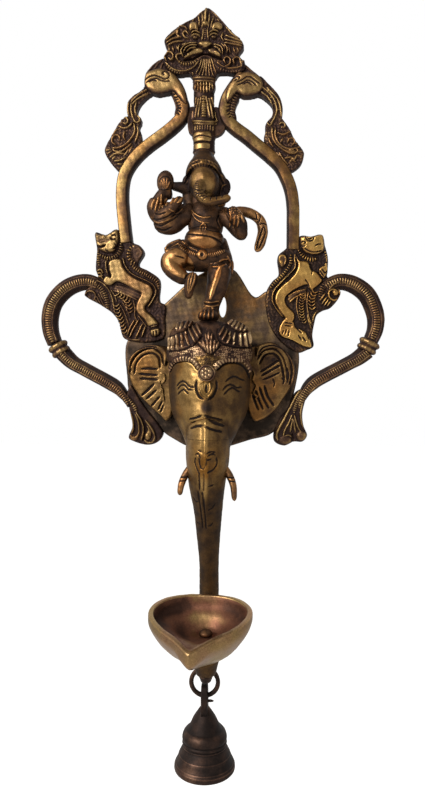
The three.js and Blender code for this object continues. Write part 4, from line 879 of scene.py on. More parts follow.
def make_staff():
    x, y = -3.2, -3.0
    crown = 150.0
    profile = [(6.6, 0.3), (6.2, 2.2), (6.1, 3.6), (6.7, 4.4), (7.2, 5.2), (6.9, 6.2), (6.8, 7),
        (6.8, 9.2), (6.5, 9.7), (6.8, 10.2), (6.8, 12.4), (7.1, 13.2), (7.5, 14.4), (7.3, 15.8),
        (7.0, 16.8), (7.0, 18.4), (6.7, 19), (7.0, 19.6), (6.8, 31), (5.8, 34), (6.2, 35.6),
        (6.5, 37), (6.5, 44), (6.0, 44.6), (7.2, 45.4), (7.2, 46.6), (6.4, 47.2), (7, 48),
        (7, 50.6)]
    shaft = turned("shaft", [(r, crown + z) for r, z in profile], x, y, flatten=0.82)
    web_outline = flow([-134, 1789, 11, 43, 32, 6, 15, -25, 103, -3, 9, 22, 33, -10, 24, -40,
        8, -87, -17, -25, -39, -21, -140, 8, -31, 22, -8, 40], 5, closed=True)
    web = slab("web", web_outline, 0, 4.6)
    fringe = slab("fringe", flow([-95, 1977, 66, 0, 67, -4, -5, -50, -41, -23, -21, -6, -24, 7,
        -38, 26], 5, closed=True), 2, 7.6)
    work = Carving(fuse("centre_staff_casting", [shaft, web, fringe], grain=0.36), 0.14)
    for ring, half, high, polish in (([-95, 2004, 66, -9, 74, 4], 1.0, 1.1, 0.25),
        ([-95, 1986, 66, -9, 74, 5], 0.8, 0.9, 0.35),
        ([-102, 1742, 42, -15, 35, -5, 39, 4, 41, 16], 1.0, 1.7, 0.62),
        ([-95, 1723, 70, -16, 73, 16], 0.7, 1.2, 0.45),
        ([-91, 1542, 62, -9, 65, 7], 0.8, 0.9, 0.4)):
        work.ridge(half, high, ring, polish=polish)
    work.ridge(0.95, 1.5, [-79, 1968, -5, -34], [-63, 1968, -2, -47], [-46, 1967, -1, -55],
        [-29, 1967, 0, -61], [-13, 1966, 2, -56], [5, 1966, 2, -47], [21, 1965, 5, -35],
        polish=0.85)
    for row in range(9):
        work.knob((-3.0, 188.0 - 1.52 * row), (2.5 + 0.12 * row, 1.35), 1.5, polish=0.75)
    work.ridge(0.7, 1.3, [-45, 1882, -8, -61, -9, -67], [-59, 1874, -11, -61, -9, -59],
        [-15, 1881, 9, -61, 11, -68], [0, 1872, 13, -61, 9, -60], [-95, 1805, -2, -35, -1, -19],
        [38, 1801, 5, -35, 7, -19], [-72, 1883, -4, -26, -8, -24], [15, 1880, 5, -26, 9, -25],
        polish=0.5)
    for stroke in range(8):
        ends = [(-8.1 + 1.52 * stroke, 170.4), (-8.1 + 1.5 * stroke, 170.4 - 3.0)]
        work.ridge(0.5, 0.8, ends, polish=0.45)
    work.panel(0.6, 0.82, 1.0, [-90, 1662, 52, 2, 50, -3, 1, -54, -51, -2, -53, 5],
        [-90, 1596, 52, 0, 46, -3, -3, -36, -43, -1, -52, 5])
    work.groove(0.42, 0.6, [-91, 1634, 53, 4, 51, -7], [-91, 1602, 53, -1, 50, -2])
    work.chase()
    spots = read_spots(work.piece)
    spots[:, 1] = np.minimum(spots[:, 1], 0)
    write_spots(work.piece, spots)
    work.finish(8, 0.6, gold_brass, "gold_brass", "centre_staff")


# Rampant lions


def make_left_lion():
    outline = flow([-720, 1058, 68, -15, 68, 34, 101, -84, 52, -27, 23, -42, -35, -76, 61, -36,
        67, -49, 9, -36, -3, -108, 36, -25, -1, -93, -13, -118, -246, 1, -38, 107, -39, 54,
        -77, 54, -101, 62, 5, 30, 81, 83, -16, 46, 7, 131], 6, closed=True)
    work = flat_casting("left_lion_casting", outline, LION_FRONT, 0.1, 0.36)
    work.ground(0.35, 2.3, 0.05, 0.22)
    # body, foreleg and hind leg
    work.panel(2.2, 0.76, 1.3, [-629, 870, -4, -50, 15, -44, -26, 5, -24, -31, 19, -27, 39, -2,
        31, 20, 51, -18, 53, -31, 48, -25, -20, -44, -13, -52, 13, -30, 39, -37, 36, -48, 59, 14,
        -34, 51, -51, 53, 32, 50, 19, 52, -13, 38, -41, 24, -59, 27, -45, 33, -34, 44, -13, 41,
        -28, 6])
    work.ridge(0.7, 2.3, [-541, 893, 17, -52, 26, -37, 45, -30, 60, -26, 46, -30, 16, -41,
        -18, -48, -31, -49], polish=0.55)
    work.groove(0.5, 1.0, [-627, 843, 0, -37, 11, -39])
    work.ridge(0.7, 2.0, [-648, 876, 0, -41, 9, -44], polish=0.4)
    work.ridge(0.95, 2.2, [-705, 810, 24, 11, 14, -23], [-709, 791, 24, 8, 14, -19],
        [-705, 773, 22, 5, 14, -17], polish=0.68)
    # head
    work.panel(2.8, 0.6, 2.0, [-715, 1052, 27, -10, 48, -1, 47, 26, 21, 4, 8, -52, -8, -47,
        -28, -46, -50, -2, -38, 20, -21, 30, -8, 38])
    work.panel(3.3, 0.82, 1.4, [-648, 987, 30, 22, 38, 0, 7, -34, -15, -29, -30, -16, -33, 9,
        -8, 23])
    for line, high, polish in (([-712, 1044, 19, -15, 19, 7], 3.6, 0.45),
        ([-704, 1025, 19, -15, 26, 4, 15, 14], 3.6, 0.5), ([-666, 1040, 18, -30, 30, 3, 8, 22],
        3.8, 0.55), ([-704, 1003, 26, -11, 23, 3], 3.6, 0.45)):
        work.ridge(0.6, high, line, polish=polish)
    work.groove(0.5, 1.0, [-618, 1020, 15, -15, 23, 4], [-606, 1028, 18, 7, 8, -11],
        [-588, 979, 8, -18, -19, -14], [-648, 941, 23, -15, 26, 1])
    work.groove(0.9, 1.8, [-706, 968, 25, -8, 33, 12])
    work.beads(1.8, 2.1, 1.55, [-681, 910, 50, -18, 50, 16, 26, 40, 2, 33], polish=0.55)
    work.beads(1.3, 1.4, 1.45, [-700, 936, 0, -47, 7, -45], polish=0.42)
    # back, tail and scroll bump
    work.beads(1.7, 1.5, 1.5, [-488, 849, 47, -38, 67, -38, 54, -40, 14, -45], polish=0.48)
    work.panel(1.9, 0.2, 2.4, [-486, 969, 45, 11, 35, -38, 0, -42, -35, -48, -36, 34, -9, 43])
    work.ridge(0.9, 2.2, [-460, 937, 22, 10, 19, -26, -11, -25, -21, -5], polish=0.25)
    work.knob((-44.7, 91.4), (2.6, 2.6), 2.3, polish=0.32)
    work.beads(1.9, 1.7, 1.9, [-475, 965, -23, -20, -6, -41, 14, -30, 30, -20], polish=0.6)
    # folded cloth, feathers and leaves under the belly
    work.panel(1.7, 0.3, 1.4, [-583, 724, 154, -54, -6, -39, -34, 6, -131, 52])
    work.ridge(0.6, 2.0, [-589, 716, 76, -24, 86, -31], [-603, 687, 75, -25, 81, -37],
        [-597, 702, 77, -25, 84, -35], polish=0.38)
    work.scales(0.62, 1.9, 2.1, 2.1, [-573, 668, 34, -19, 30, -33, 11, -41, -3, -30], polish=0.62)
    work.scales(0.62, 1.9, 2.1, 2.2, [-580, 594, 7, -41, 17, -44, 13, -45, 17, -44], polish=0.58)
    work.ridge(0.6, 1.5, [-618, 694, 27, -44, 11, -37], [-558, 598, 24, -45, 18, -45, 11, -37],
        [-543, 612, 27, -44, 18, -45], [-475, 626, 11, -51, -2, -45, 15, -37],
        [-606, 642, 9, -52, 3, -37], [-445, 530, 26, -33, 26, -34], polish=0.4)
    work.ridge(1.0, 1.9, [-441, 501, -33, -56, -24, -51], [-416, 478, -25, -52, -17, -35],
        [-467, 501, -27, -46, -18, -47], [-398, 459, -12, -33, -10, -30], polish=0.62)
    work.panel(2.3, 0.66, 1.6, [-367, 439, 55, 13, 8, -36, -31, -22, -26, 11])
    work.groove(0.5, 1.0, [-374, 460, 37, 9, 21, 5], [-371, 440, 39, 7, 22, 7],
        [-346, 429, 2, -29], [-327, 435, 4, -30])
    work.ridge(0.7, 1.0, [-526, 383, 47, -5, 48, -1], polish=0.25)
    # fan that the loop curls into
    work.beads(1.9, 1.5, 1.5, [-723, 732, 34, -22, 30, -41, 15, -52, 5, -48], polish=0.42)
    work.ridge(0.8, 1.7, [-746, 759, 68, -20, 49, -52, 23, -59, 9, -60], polish=0.42)
    work.ridge(0.85, 1.8, [-708, 569, -60, 49, -17, 33, 17, 30, 34, 3, 19, -26, -15, -33,
        -27, 10], polish=0.38)
    work.ridge(0.7, 1.4, [-723, 643, 30, -48], [-712, 658, 42, -78], [-697, 667, 46, -98],
        [-687, 680, 23, -52], polish=0.34)
    work.relief(LION_FRONT, edge=1.4, outline=outline)
    work.finish(10, 0.5, gold_brass, "gold_brass", "left_lion")


def make_right_lion():
    outline = flow([570, 1018, 62, -4, 66, 9, 22, -70, 17, -76, -2, -87, -3, -25, 81, -89,
        -13, -50, -49, -56, -44, -15, -38, -28, -15, -51, -12, -75, 6, -69, -41, -22, -53, -16,
        -118, 78, -68, 124, -12, 172, 38, 69, 38, 37, -7, 101, 10, 29, 32, 26], 6, closed=True)
    work = flat_casting("right_lion_casting", outline, LION_FRONT, 0.1, 0.36)
    work.ground(0.35, 2.3, 0.05, 0.22)
    # body, foreleg and hind leg
    work.panel(2.2, 0.82, 1.3, [542, 905, 17, -39, 53, -13, 22, -49, 26, -12, 43, -54, -52, -51,
        -17, -12, -19, 19, -8, 16, -33, -9, -60, -33, -39, -39, 10, -43, 41, -44, 7, -33,
        -14, -25, -35, 6, -20, 24, -34, 47, -22, 47, 8, 53, 33, 45, 51, 42, 36, 43, 13, 45,
        -7, 29])
    work.panel(2.4, 0.84, 1.0, [676, 804, 24, 24, 24, 19, 9, -28, 1, -29, -14, -30, -14, -13])
    work.groove(0.5, 1.0, [627, 841, 13, -28, -6, -40], [595, 744, 17, -24, 10, -24],
        [684, 796, 25, -35], [697, 806, 19, -24, 14, 15], [699, 825, 20, 6], [675, 787, 25, -44])
    work.ridge(0.7, 2.2, [533, 901, -1, -36, 2, -44, -36, -43, -54, -54, -43, -54, -6, -58,
        27, -51, 36, -46], polish=0.5)
    # head
    work.panel(2.9, 0.56, 2.6, [564, 1006, 37, 5, 55, -1, 47, 10, 14, -66, -5, -37, -38, -23,
        -55, 4, -37, 19, -18, 39])
    work.panel(3.2, 0.78, 1.2, [581, 1006, 54, 1, 58, 7, 14, -43, 2, -43, -31, -20, -50, 5,
        -36, 17, -18, 36])
    work.groove(0.5, 1.0, [596, 1004, 11, -18, 18, -9, 18, 8, 5, 18], [610, 998, 14, -9, 13, 10],
        [572, 972, 16, 4, 8, -10, -13, -9], [653, 945, 18, 11, 23, 3],
        [592, 934, 25, -16, 33, -8, 43, 8], [574, 950, 12, -4, 10, 4])
    work.knob((62.4, 99.9), (1.7, 1.5), 3.6, polish=0.7)
    work.beads(1.8, 2.1, 1.55, [557, 923, 25, -34, 37, -19, 50, 0], polish=0.5)
    work.beads(1.4, 1.5, 1.45, [719, 910, 15, -39, -4, -33], polish=0.52)
    # back, tail and scroll bump
    work.beads(1.4, 1.6, 1.6, [507, 894, -1, -48, -34, -57, -46, -46, -42, -45], polish=0.45)
    work.panel(1.9, 0.24, 1.8, [426, 893, 37, 14, 24, -24, -9, -46, -29, -20, -18, 30])
    work.knob((44.9, 85.0), (2.6, 2.6), 2.4, polish=0.45)
    work.ridge(0.7, 2.4, [435, 865, 8, 23, 25, 3, 9, -26, -8, -28], polish=0.42)
    # folded cloth, feathers and foot cushion
    work.panel(1.7, 0.26, 1.4, [485, 623, 33, 38, 74, 27, 14, -20, -58, -18, -48, -46])
    work.ridge(0.62, 2.0, [491, 638, 41, 28, 70, 20], [500, 604, 38, 33, 59, 25], polish=0.5)
    work.scales(0.62, 1.9, 2.0, 2.1, [653, 668, -14, -36, -2, -37, 4, -36], polish=0.55)
    work.scales(0.6, 1.8, 1.5, 1.7, [581, 647, -7, -44, 0, -44, 5, -43, 19, -51], polish=0.42)
    work.ridge(0.6, 1.6, [615, 668, -7, -51, 2, -58, 12, -58, 12, -36], [601, 668, -6, -51],
        [549, 640, -6, -51, 7, -51, 15, -51], [664, 544, -14, -21, -9, -37],
        [610, 523, 7, -36, 15, -44], polish=0.4)
    work.panel(2.2, 0.84, 1.3, [478, 508, -31, -29, -15, -37, 4, -37, 27, -21, 37, -12, 42, -21,
        42, -21, 53, -6, -6, 43, -21, 42, -37, 27, -36, 16, -11, 32])
    work.groove(0.5, 1.1, [469, 480, 50, -9], [469, 463, 42, -7], [463, 437, -6, -27],
        [481, 437, -9, -32], [499, 435, -9, -42], [542, 445, 33, -32], [553, 401, 20, -30],
        [578, 391, 21, -28], [604, 408, 15, -33])
    # volute that the loop curls into
    work.ridge(1.0, 2.0, [803, 679, 6, -39, -33, -25, -31, 17, -5, 33, 25, 18, 24, -11, 1, -19,
        -16, -7], polish=0.52)
    work.knob((77.6, 66.3), (3.4, 3.4), 2.4, polish=0.66)
    work.beads(2.0, 1.5, 1.5, [750, 732, -36, -21, -18, -36, -10, -44], polish=0.42)
    work.ridge(0.8, 1.6, [739, 621, -27, -39], [728, 636, -30, -44], [719, 659, -32, -45],
        [751, 609, -23, -32], polish=0.42)
    work.relief(LION_FRONT, edge=1.4, outline=outline)
    work.finish(10, 0.5, golden_brass, "gold_brass", "right_lion")


# Side loops, collars, arms and leaf feet

left_loop_line = flow([-702, 728, -63, 20, -75, -8, -78, -38, -74, -83, -26, -95, 6, -95,
    26, -73], 7)
right_loop_line = flow([715, 694, 85, 38, 82, -12, 88, -62, 45, -86, 16, -68, -6, -73, -29, -71],
    7)
left_arm_line = flow([-941, 303, 67, -65, 76, -43, 75, -40, 75, -40, 68, -43, 46, -52, 36, -59],
    7)
right_arm_line = flow([980, 306, -58, -46, -57, -32, -72, -38, -71, -37, -69, -41, -45, -45,
    -32, -59, -19, -58], 7)


def make_loop(name, node, line, outer, curl):
    """outer is 1 where the outside of the loop lies to the left of the line's heading."""
    front = 6.4
    half = 4.3 + 0.98 * np.sin(np.linspace(0, math.pi, len(line)))
    outline = band_outline(line, half)
    work = flat_casting(name, outline, front, 0.14, 0.34)
    side = side_of(work.plan, line) * outer
    work.sunk += 3.0 * ease(-side, 1.9, 4.8)
    work.gold *= 1 - 0.7 * ease(-side, 1.8, 2.8)
    work.sunk += 0.7 * ease(side, 2.6, 5.2)
    _, square = arrows(line)
    work.beads(2.15, 1.1, 1.5, (line + square * 0.1 * outer)[::4], polish=0.78)
    for offset, polish in ((2.9, 0.2), (-2.7, 0.3)):
        work.ridge(0.45, 0.7, (line + square * offset * outer)[::4], polish=polish)
    work.ridge(0.7, 1.7, curl, polish=0.5)
    work.relief(front, edge=1.0, outline=outline)
    work.finish(8, 0.5, gold_brass, "gold_brass", node)


def make_collar(name, node, at, lean):
    ring = [(3.6, -3.9), (5.0, -3.8), (6.0, -3.0), (6.3, -2.0), (5.9, -0.9), (5.2, -0.2),
        (5.8, 0.5), (6.6, 1.4), (6.7, 2.2), (6.2, 3.2), (5.2, 3.9), (3.6, 4.0)]
    blank = turned(name, ring, 0, 0, segments=96, flatten=0.86, flutes=14, flute=0.02)
    adjust(blank, "SUBSURF", levels=1, render_levels=1)
    spots = read_spots(blank)
    c, s = math.cos(math.radians(lean)), math.sin(math.radians(lean))
    x, y, z = spots.T
    away = np.hypot(x, y / 0.86)
    y = np.minimum(y - 3.2, -0.05)
    write_spots(blank, np.column_stack([x * c + z * s + at[0], y, z * c - x * s + at[1]]))
    gold = 0.14 + 0.46 * ease(away, 5.4, 6.4)
    # Painted shade where the collar turns away from the front.
    weather(blank, gold * (0.3 + 0.7 * ease(-read_normals(blank)[:, 1], 0, 0.6)), 4, 0.6)
    hand_over(blank, "root", gold_brass, "gold_brass", node)


def make_arm(name, node, line, upper):
    """upper is 1 where the upper edge lies to the left of the line's heading."""
    front = 6.6
    run = np.linspace(0, 1, len(line))
    half = 4.3 + 0.7 * ease(run, 0.25, 0.0) - 2.5 * ease(run, 0.62, 1.0)
    outline = band_outline(line, half)
    work = flat_casting(name, outline, front, 0.14, 0.34)
    side = side_of(work.plan, line) * upper
    work.sunk += 2.6 * ease(side, 1.7, 4.0)
    work.gold *= 1 - 0.7 * ease(side, 1.6, 2.4)
    work.sunk += 1.0 * ease(-side, 2.6, 4.2)
    _, square = arrows(line)
    work.beads(1.9, 1.0, 1.45, (line - square * 0.5 * upper)[::4], polish=0.56)
    for offset, polish in ((2.8, 0.4), (-1.9, 0.3)):
        work.ridge(0.45, 0.6, (line - square * offset * upper)[::4], polish=polish)
    work.relief(front, edge=1.6, outline=outline)
    work.finish(8, 0.5, gold_brass, "gold_brass", node)


def make_left_leaf():
    outline = flow([-519, 30, 25, -118, 11, -76, -24, -76, 36, -23, 92, -20, 59, 21, 31, 53,
        -23, 51, -58, 72, -64, 89, -60, 92], 6, closed=True)
    work = flat_casting("left_leaf_foot_casting", outline, LEAF_FRONT, 0.06, 0.36)
    work.bold = 1.3
    work.beads(1.5, 1.3, 1.45, [-561, 57, 36, -33, 36, -36, 22, -33, 13, -33], polish=0.55)
    work.ridge(0.8, 1.5, [-537, -12, 30, -45, 23, -51, 9, -48, -1, -30, -8, -21], polish=0.6)
    work.ridge(0.75, 1.5, [-462, -90, 16, -36, 7, -41, -1, -42, -15, -23, -27, -5, -7, 15],
        [-452, -84, 24, -36, 15, -41, 2, -42, -14, -45], polish=0.62)
    work.groove(0.7, 0.9, [-419, -113, 18, -60, -4, -48, -8, -36])
    work.ridge(0.9, 1.3, [-395, -131, 29, -36, 20, -36, 7, -33, -13, -28], polish=0.42)
    work.panel(1.1, 0.6, 1.0, [-391, -152, 20, -24, 13, -27, -4, -33, -18, -15, -16, 15, 1, 30,
        9, 21])
    work.groove(0.55, 1.2, [-389, -172, 4, -22, -6, -12])
    work.knob((-38.3, -22.6), (4.0, 5.4), 1.7, polish=0.75)
    work.ridge(0.7, 1.2, [-404, -253, 24, -14, 28, 3], polish=0.55)
    work.knob((-47.0, -24.0), (5.2, 3.2), 1.3, polish=0.4)
    work.relief(LEAF_FRONT, edge=1.4, outline=outline)
    work.finish(8, 0.5, gold_brass, "gold_brass", "left_leaf_foot")


def make_right_leaf():
    outline = flow([616, 52, -20, -61, -16, -75, 7, -75, 22, -59, -29, -38, -53, -1, -59, -25,
        -60, 25, -7, 45, 37, 98, 59, 75, 37, 84, 46, 25], 6, closed=True)
    work = flat_casting("right_leaf_foot_casting", outline, LEAF_FRONT, 0.06, 0.36)
    work.bold = 1.3
    work.beads(1.2, 1.2, 1.3, [668, 116, -45, -27, -39, -36, -21, -33, -18, -34, -12, -30,
        -5, -30], polish=0.6)
    for rib, half, polish in (([587, 98, -24, -36, -33, -52, -30, -57, -31, -64, -33, -60,
        -16, -43, 7, -30], 0.95, 0.85), ([579, -20, -12, -60, 11, -67, 18, -36], 0.8, 0.5),
        ([515, -89, -21, -52, -25, -45, -9, -40], 0.65, 0.65),
        ([519, -111, -7, -42, -9, -42], 0.55, 0.55), ([530, -92, 12, -49, 15, -36, 16, -21], 0.6,
        0.6), ([524, -117, 6, -45, 6, -36], 0.5, 0.5), ([457, -232, 34, 18, 25, -13], 0.6, 0.55)):
        work.ridge(half, 1.4, rib, polish=polish)
    work.knob((47.2, -24.4), (8, 5.6), 1.3, polish=0.35)
    work.knob((57.2, -21.9), (6.6, 6.2), 1.6, polish=0.45)
    work.groove(0.9, 1.2, [518, -207, 1, -58])
    work.relief(LEAF_FRONT, edge=1.4, outline=outline)
    work.finish(8, 0.5, gold_brass, "gold_brass", "right_leaf_foot")


# Back plate


def make_back_plate():
    outline = flow([-525, 359, 3, -202, 22, -127, 128, -125, 82, -107, 76, -50, 70, -37, 138, -37,
        144, 39, 119, 38, 130, 38, 87, 100, 67, 205, 19, 205, -60, 181, -132, 199, -80, -37,
        -144, 182, -181, -23, -240, -192, -173, -159], 6, closed=True)
    plate = slab("blank", outline, 0, PLATE_DEPTH)
    hollow(plate, drill(8.5, 58.4, 2.3, 6.8, -1, PLATE_DEPTH + 1))
    for z in HEAD_SCREWS.values():
        hollow(plate, drill(HEAD_X, z, 2.15, 2.15, -1, PLATE_DEPTH + 1))
        hollow(plate, drill(HEAD_X, z, 4.4, 4.4, -1, 2.4))
    work = Carving(fuse("back_plate_casting", [plate], grain=0.6), 0.5)
    x, z = work.plan.T
    work.gold = 0.53 - 0.13 * ease(-x, 0, 30) + 0.1 * ripple(work.spots, 9)
    # Painted shade on the plate below 30 mm, deep behind the head and ears.
    work.gold *= 1 - 0.75 * ease(z, 42, 30)
    work.relief(PLATE_DEPTH, edge=1.2, outline=outline, uneven=0.14)
    work.finish(10, 0.4, plate_brass, "gold_brass", "back_plate")


# Elephant head, hollow behind, with its headdress, jewels and ears


def brow_front(x, z):
    """How far the forehead stands off the wall at a spot."""
    return 41.0 - 0.032 * (x - HEAD_X) ** 2 - 0.004 * max(z - 16, 0) ** 2


def make_face():
    """Elephant head and trunk, worked as one form and parted along the lowest brow line."""
    bolt_x, stand, top = BOLT_X, -BOLT_Y, -142.4
    wide, deep, root, end = 49.0, 39.3, 25.0, 11.6
    skull = limb([(HEAD_X, -18, 38, wide * 0.80, deep * 0.80),
        (HEAD_X, -19, 29, wide * 0.98, deep * 1.04), (HEAD_X, -19, 18, wide * 1.0, deep * 1.06),
        (HEAD_X, -19.4, 7, wide * 1.0, deep * 1.06), (HEAD_X, -20, -3, wide * 0.96, deep * 1.0),
        (HEAD_X, -21.4, -10, wide * 0.87, deep * 0.96),
        (HEAD_X, -23, -16.5, wide * 0.72, deep * 0.88),
        (HEAD_X, -26, -24, wide * 0.57, deep * 0.76),
        (HEAD_X, -28, -32, wide * 0.46, deep * 0.6)], side=(1, 0, 0), segments=72, rings=60,
        keel=1.85, cap=0.03)
    saw(skull, (0, -HEAD_BACK, 0), (0, 1, 0))
    snout = limb([(HEAD_X, -29, -12, root * 1.0, 29), (HEAD_X, -32.5, -31, root * 1.03, 27),
        (HEAD_X - 0.4, -32, -48, root * 0.86, 22), (HEAD_X, -30, -61, root * 0.7, 18),
        (HEAD_X, -28, -74, root * 0.6, 15.5), (bolt_x, -26.5, top + 48.4, end * 1.02, 13),
        (bolt_x, -26, top + 30.4, end, 12), (bolt_x, -27, top + 18.4, end, 12),
        (bolt_x, -31, top + 7.4, end, 11), (bolt_x, -37.5, top - 0.6, end * 0.95, 9.4),
        (bolt_x, -stand + 5, top - 4.4, end * 0.85, 8)], side=(1, 0, 0), segments=48, rings=150,
        keel=1.85, cap=0.02)
    boss = turned("boss", [(5.0, top - 9), (5.4, top - 8.7), (5.9, top - 7), (6.6, top - 4),
        (7.4, top - 1), (7.9, top - 0.3), (7.8, top)], bolt_x, -stand, segments=48)
    blank = fuse("face_casting", [skull, snout, boss], grain=0.5, smooth=16)
    work = Carving(blank, 0.7)
    x, z = work.plan.T
    aside = x - HEAD_X
    half = np.clip(17 - 0.18 * np.clip(4 - z, 0, 30), 5, 20)
    bridge = np.clip(1 - np.abs(aside) / half, 0, 1)
    work.raised += (1.6 + 1.6 * ease(-z, -12, 8)) * bridge * ease(z, -74, -40)
    crest = np.clip(1 - np.abs(aside) / 1.6, 0, 1)
    work.raised += 0.8 * crest * ease(-z, 8, 14) * ease(z, -62, -36)
    work.groove(0.6, 0.6, [-168, 89, 17, 19, 21, 10, 19, -6, 16, -16, 17, -10, 20, -2],
        [-163, 70, 19, 21, 19, 6, 17, -10, 16, -17, 25, -2],
        [-160, 43, 13, 13, 14, 10, 14, 2, 14, -12, 13, -9],
        [120, 117, 21, 17, 24, 11, 21, -4, 21, -12, 20, -5],
        [104, 68, 16, 19, 21, 11, 21, -3, 20, -13, 30, 2],
        [109, 43, 15, 15, 17, 15, 21, 6, 20, -12, 18, -10])
    work.groove(0.72, 0.8, [-84, -100, 18, 6, 18, 3, 20, 7, 16, 6],
        [8, -77, 20, -9, 35, -8, 36, -9], [-72, -124, 26, 4, 18, 8, 20, 5],
        [9, -108, 24, -12, 35, -11, 37, -9], [-70, -154, 27, 10, 20, 4, 24, 2],
        [6, -140, 27, -14, 30, -10, 30, -6])
    work.groove(0.75, 0.9, [-41, 120, -5, -27, 5, -32, 14, -27, 22, -18],
        [66, 120, 4, -31, -9, -31, -13, -24, -25, -19])
    work.groove(0.8, 0.9, [-217, 172, 22, 40, 42, 23, 48, 3, 41, -19, 31, -38],
        [70, 181, 34, 32, 47, 14, 52, -9, 35, -33, 20, -51])
    work.raised += 0.9 * inside(work.plan, np.array([(-5.0, 25.9), (-2.7, 21.7), (-0.5, 19.5),
        (2.0, 19.0), (4.4, 19.5), (6.5, 21.0), (9.6, 25.9)]))
    work.stipple(0.6, 1.15, [-50, 259, 23, -42, 22, -22, 25, -5, 24, 5, 21, 15, 31, 49])
    work.groove(0.5, 0.6, [-18, -310, 5, -38, 13, -24, 14, 24, 4, 38],
        [-40, -296, 17, 6, 14, -23], [-38, -310, -3, -31, 12, -31, 7, -19],
        [14, -291, 14, 10, 15, 3, 16, -4], [23, -301, 12, 8, 13, 3, 11, -6],
        [65, -310, 4, -30, -16, -31, -34, -19], [-20, -272, 12, -4, 13, -11],
        [15, -310, 8, -10, 15, 5], [-18, -391, 1, -50, -1, -51], [-27, -503, 7, -103, 7, -128],
        [5, -391, -1, -50, -1, -50], [-4, -503, 6, -103, 4, -128], [22, -467, 16, 1, 11, 6],
        [-61, -545, 16, -24, 17, 4], [22, -617, 21, 12, 11, 21], [22, -719, 13, 4, 9, 14],
        [-50, -699, 12, -10, 9, 2])
    # Painted shade: the right half of the head and trunk is darkened, and below it the lower
    # trunk.
    dark_side = ease(aside, -1.5, 1.5) * ease(z, -80, 0)
    work.gold *= 1 - 0.4 * dark_side
    work.gold *= 1 - 0.6 * ease(-z, 36, 58)
    # Painted shadow under the drop jewel.
    jewel_shadow = np.clip(1 - np.hypot(aside / 4.5, (z + 3) / 6), 0, 1)
    work.gold *= 1 - 0.8 * ease(jewel_shadow, 0, 0.8)
    # Painted shade along the far left side of the head.
    work.gold *= 1 - 0.5 * ease(-aside, 15, 22)
    # Painted highlight on the brow left of the jewels.
    glow = np.clip(1 - np.hypot((aside + 8) / 9, (z - 17) / 10), 0, 1)
    work.gold += 0.35 * ease(glow, 0, 0.7)
    # Painted highlight along the left side of the trunk's ridge.
    ridge = np.clip(1 - np.abs(aside + 0.9) / 2.0, 0, 1) * ease(-z, 10, 16) * ease(z, -62, -36)
    work.gold += 0.46 * ease(ridge, 0, 0.8)
    work.tone = work.gold.copy()
    work.chase(uneven=0.1, painted_side_shade=0.75)
    weather(blank, work.gold, 12, 0.35)
    seam = -21.4
    lower = twin(blank, "trunk_casting")
    saw(blank, (0, 0, seam), (0, 0, 1), keep_outer=True)
    saw(lower, (0, 0, seam - 0.1), (0, 0, 1))
    blank.name = blank.data.name = "elephant_head_casting"
    lower.data.name = "trunk_casting"
    hand_over(blank, "root", face_brass, "gold_brass", "elephant_head")
    hand_over(lower, "root", face_brass, "gold_brass", "trunk")


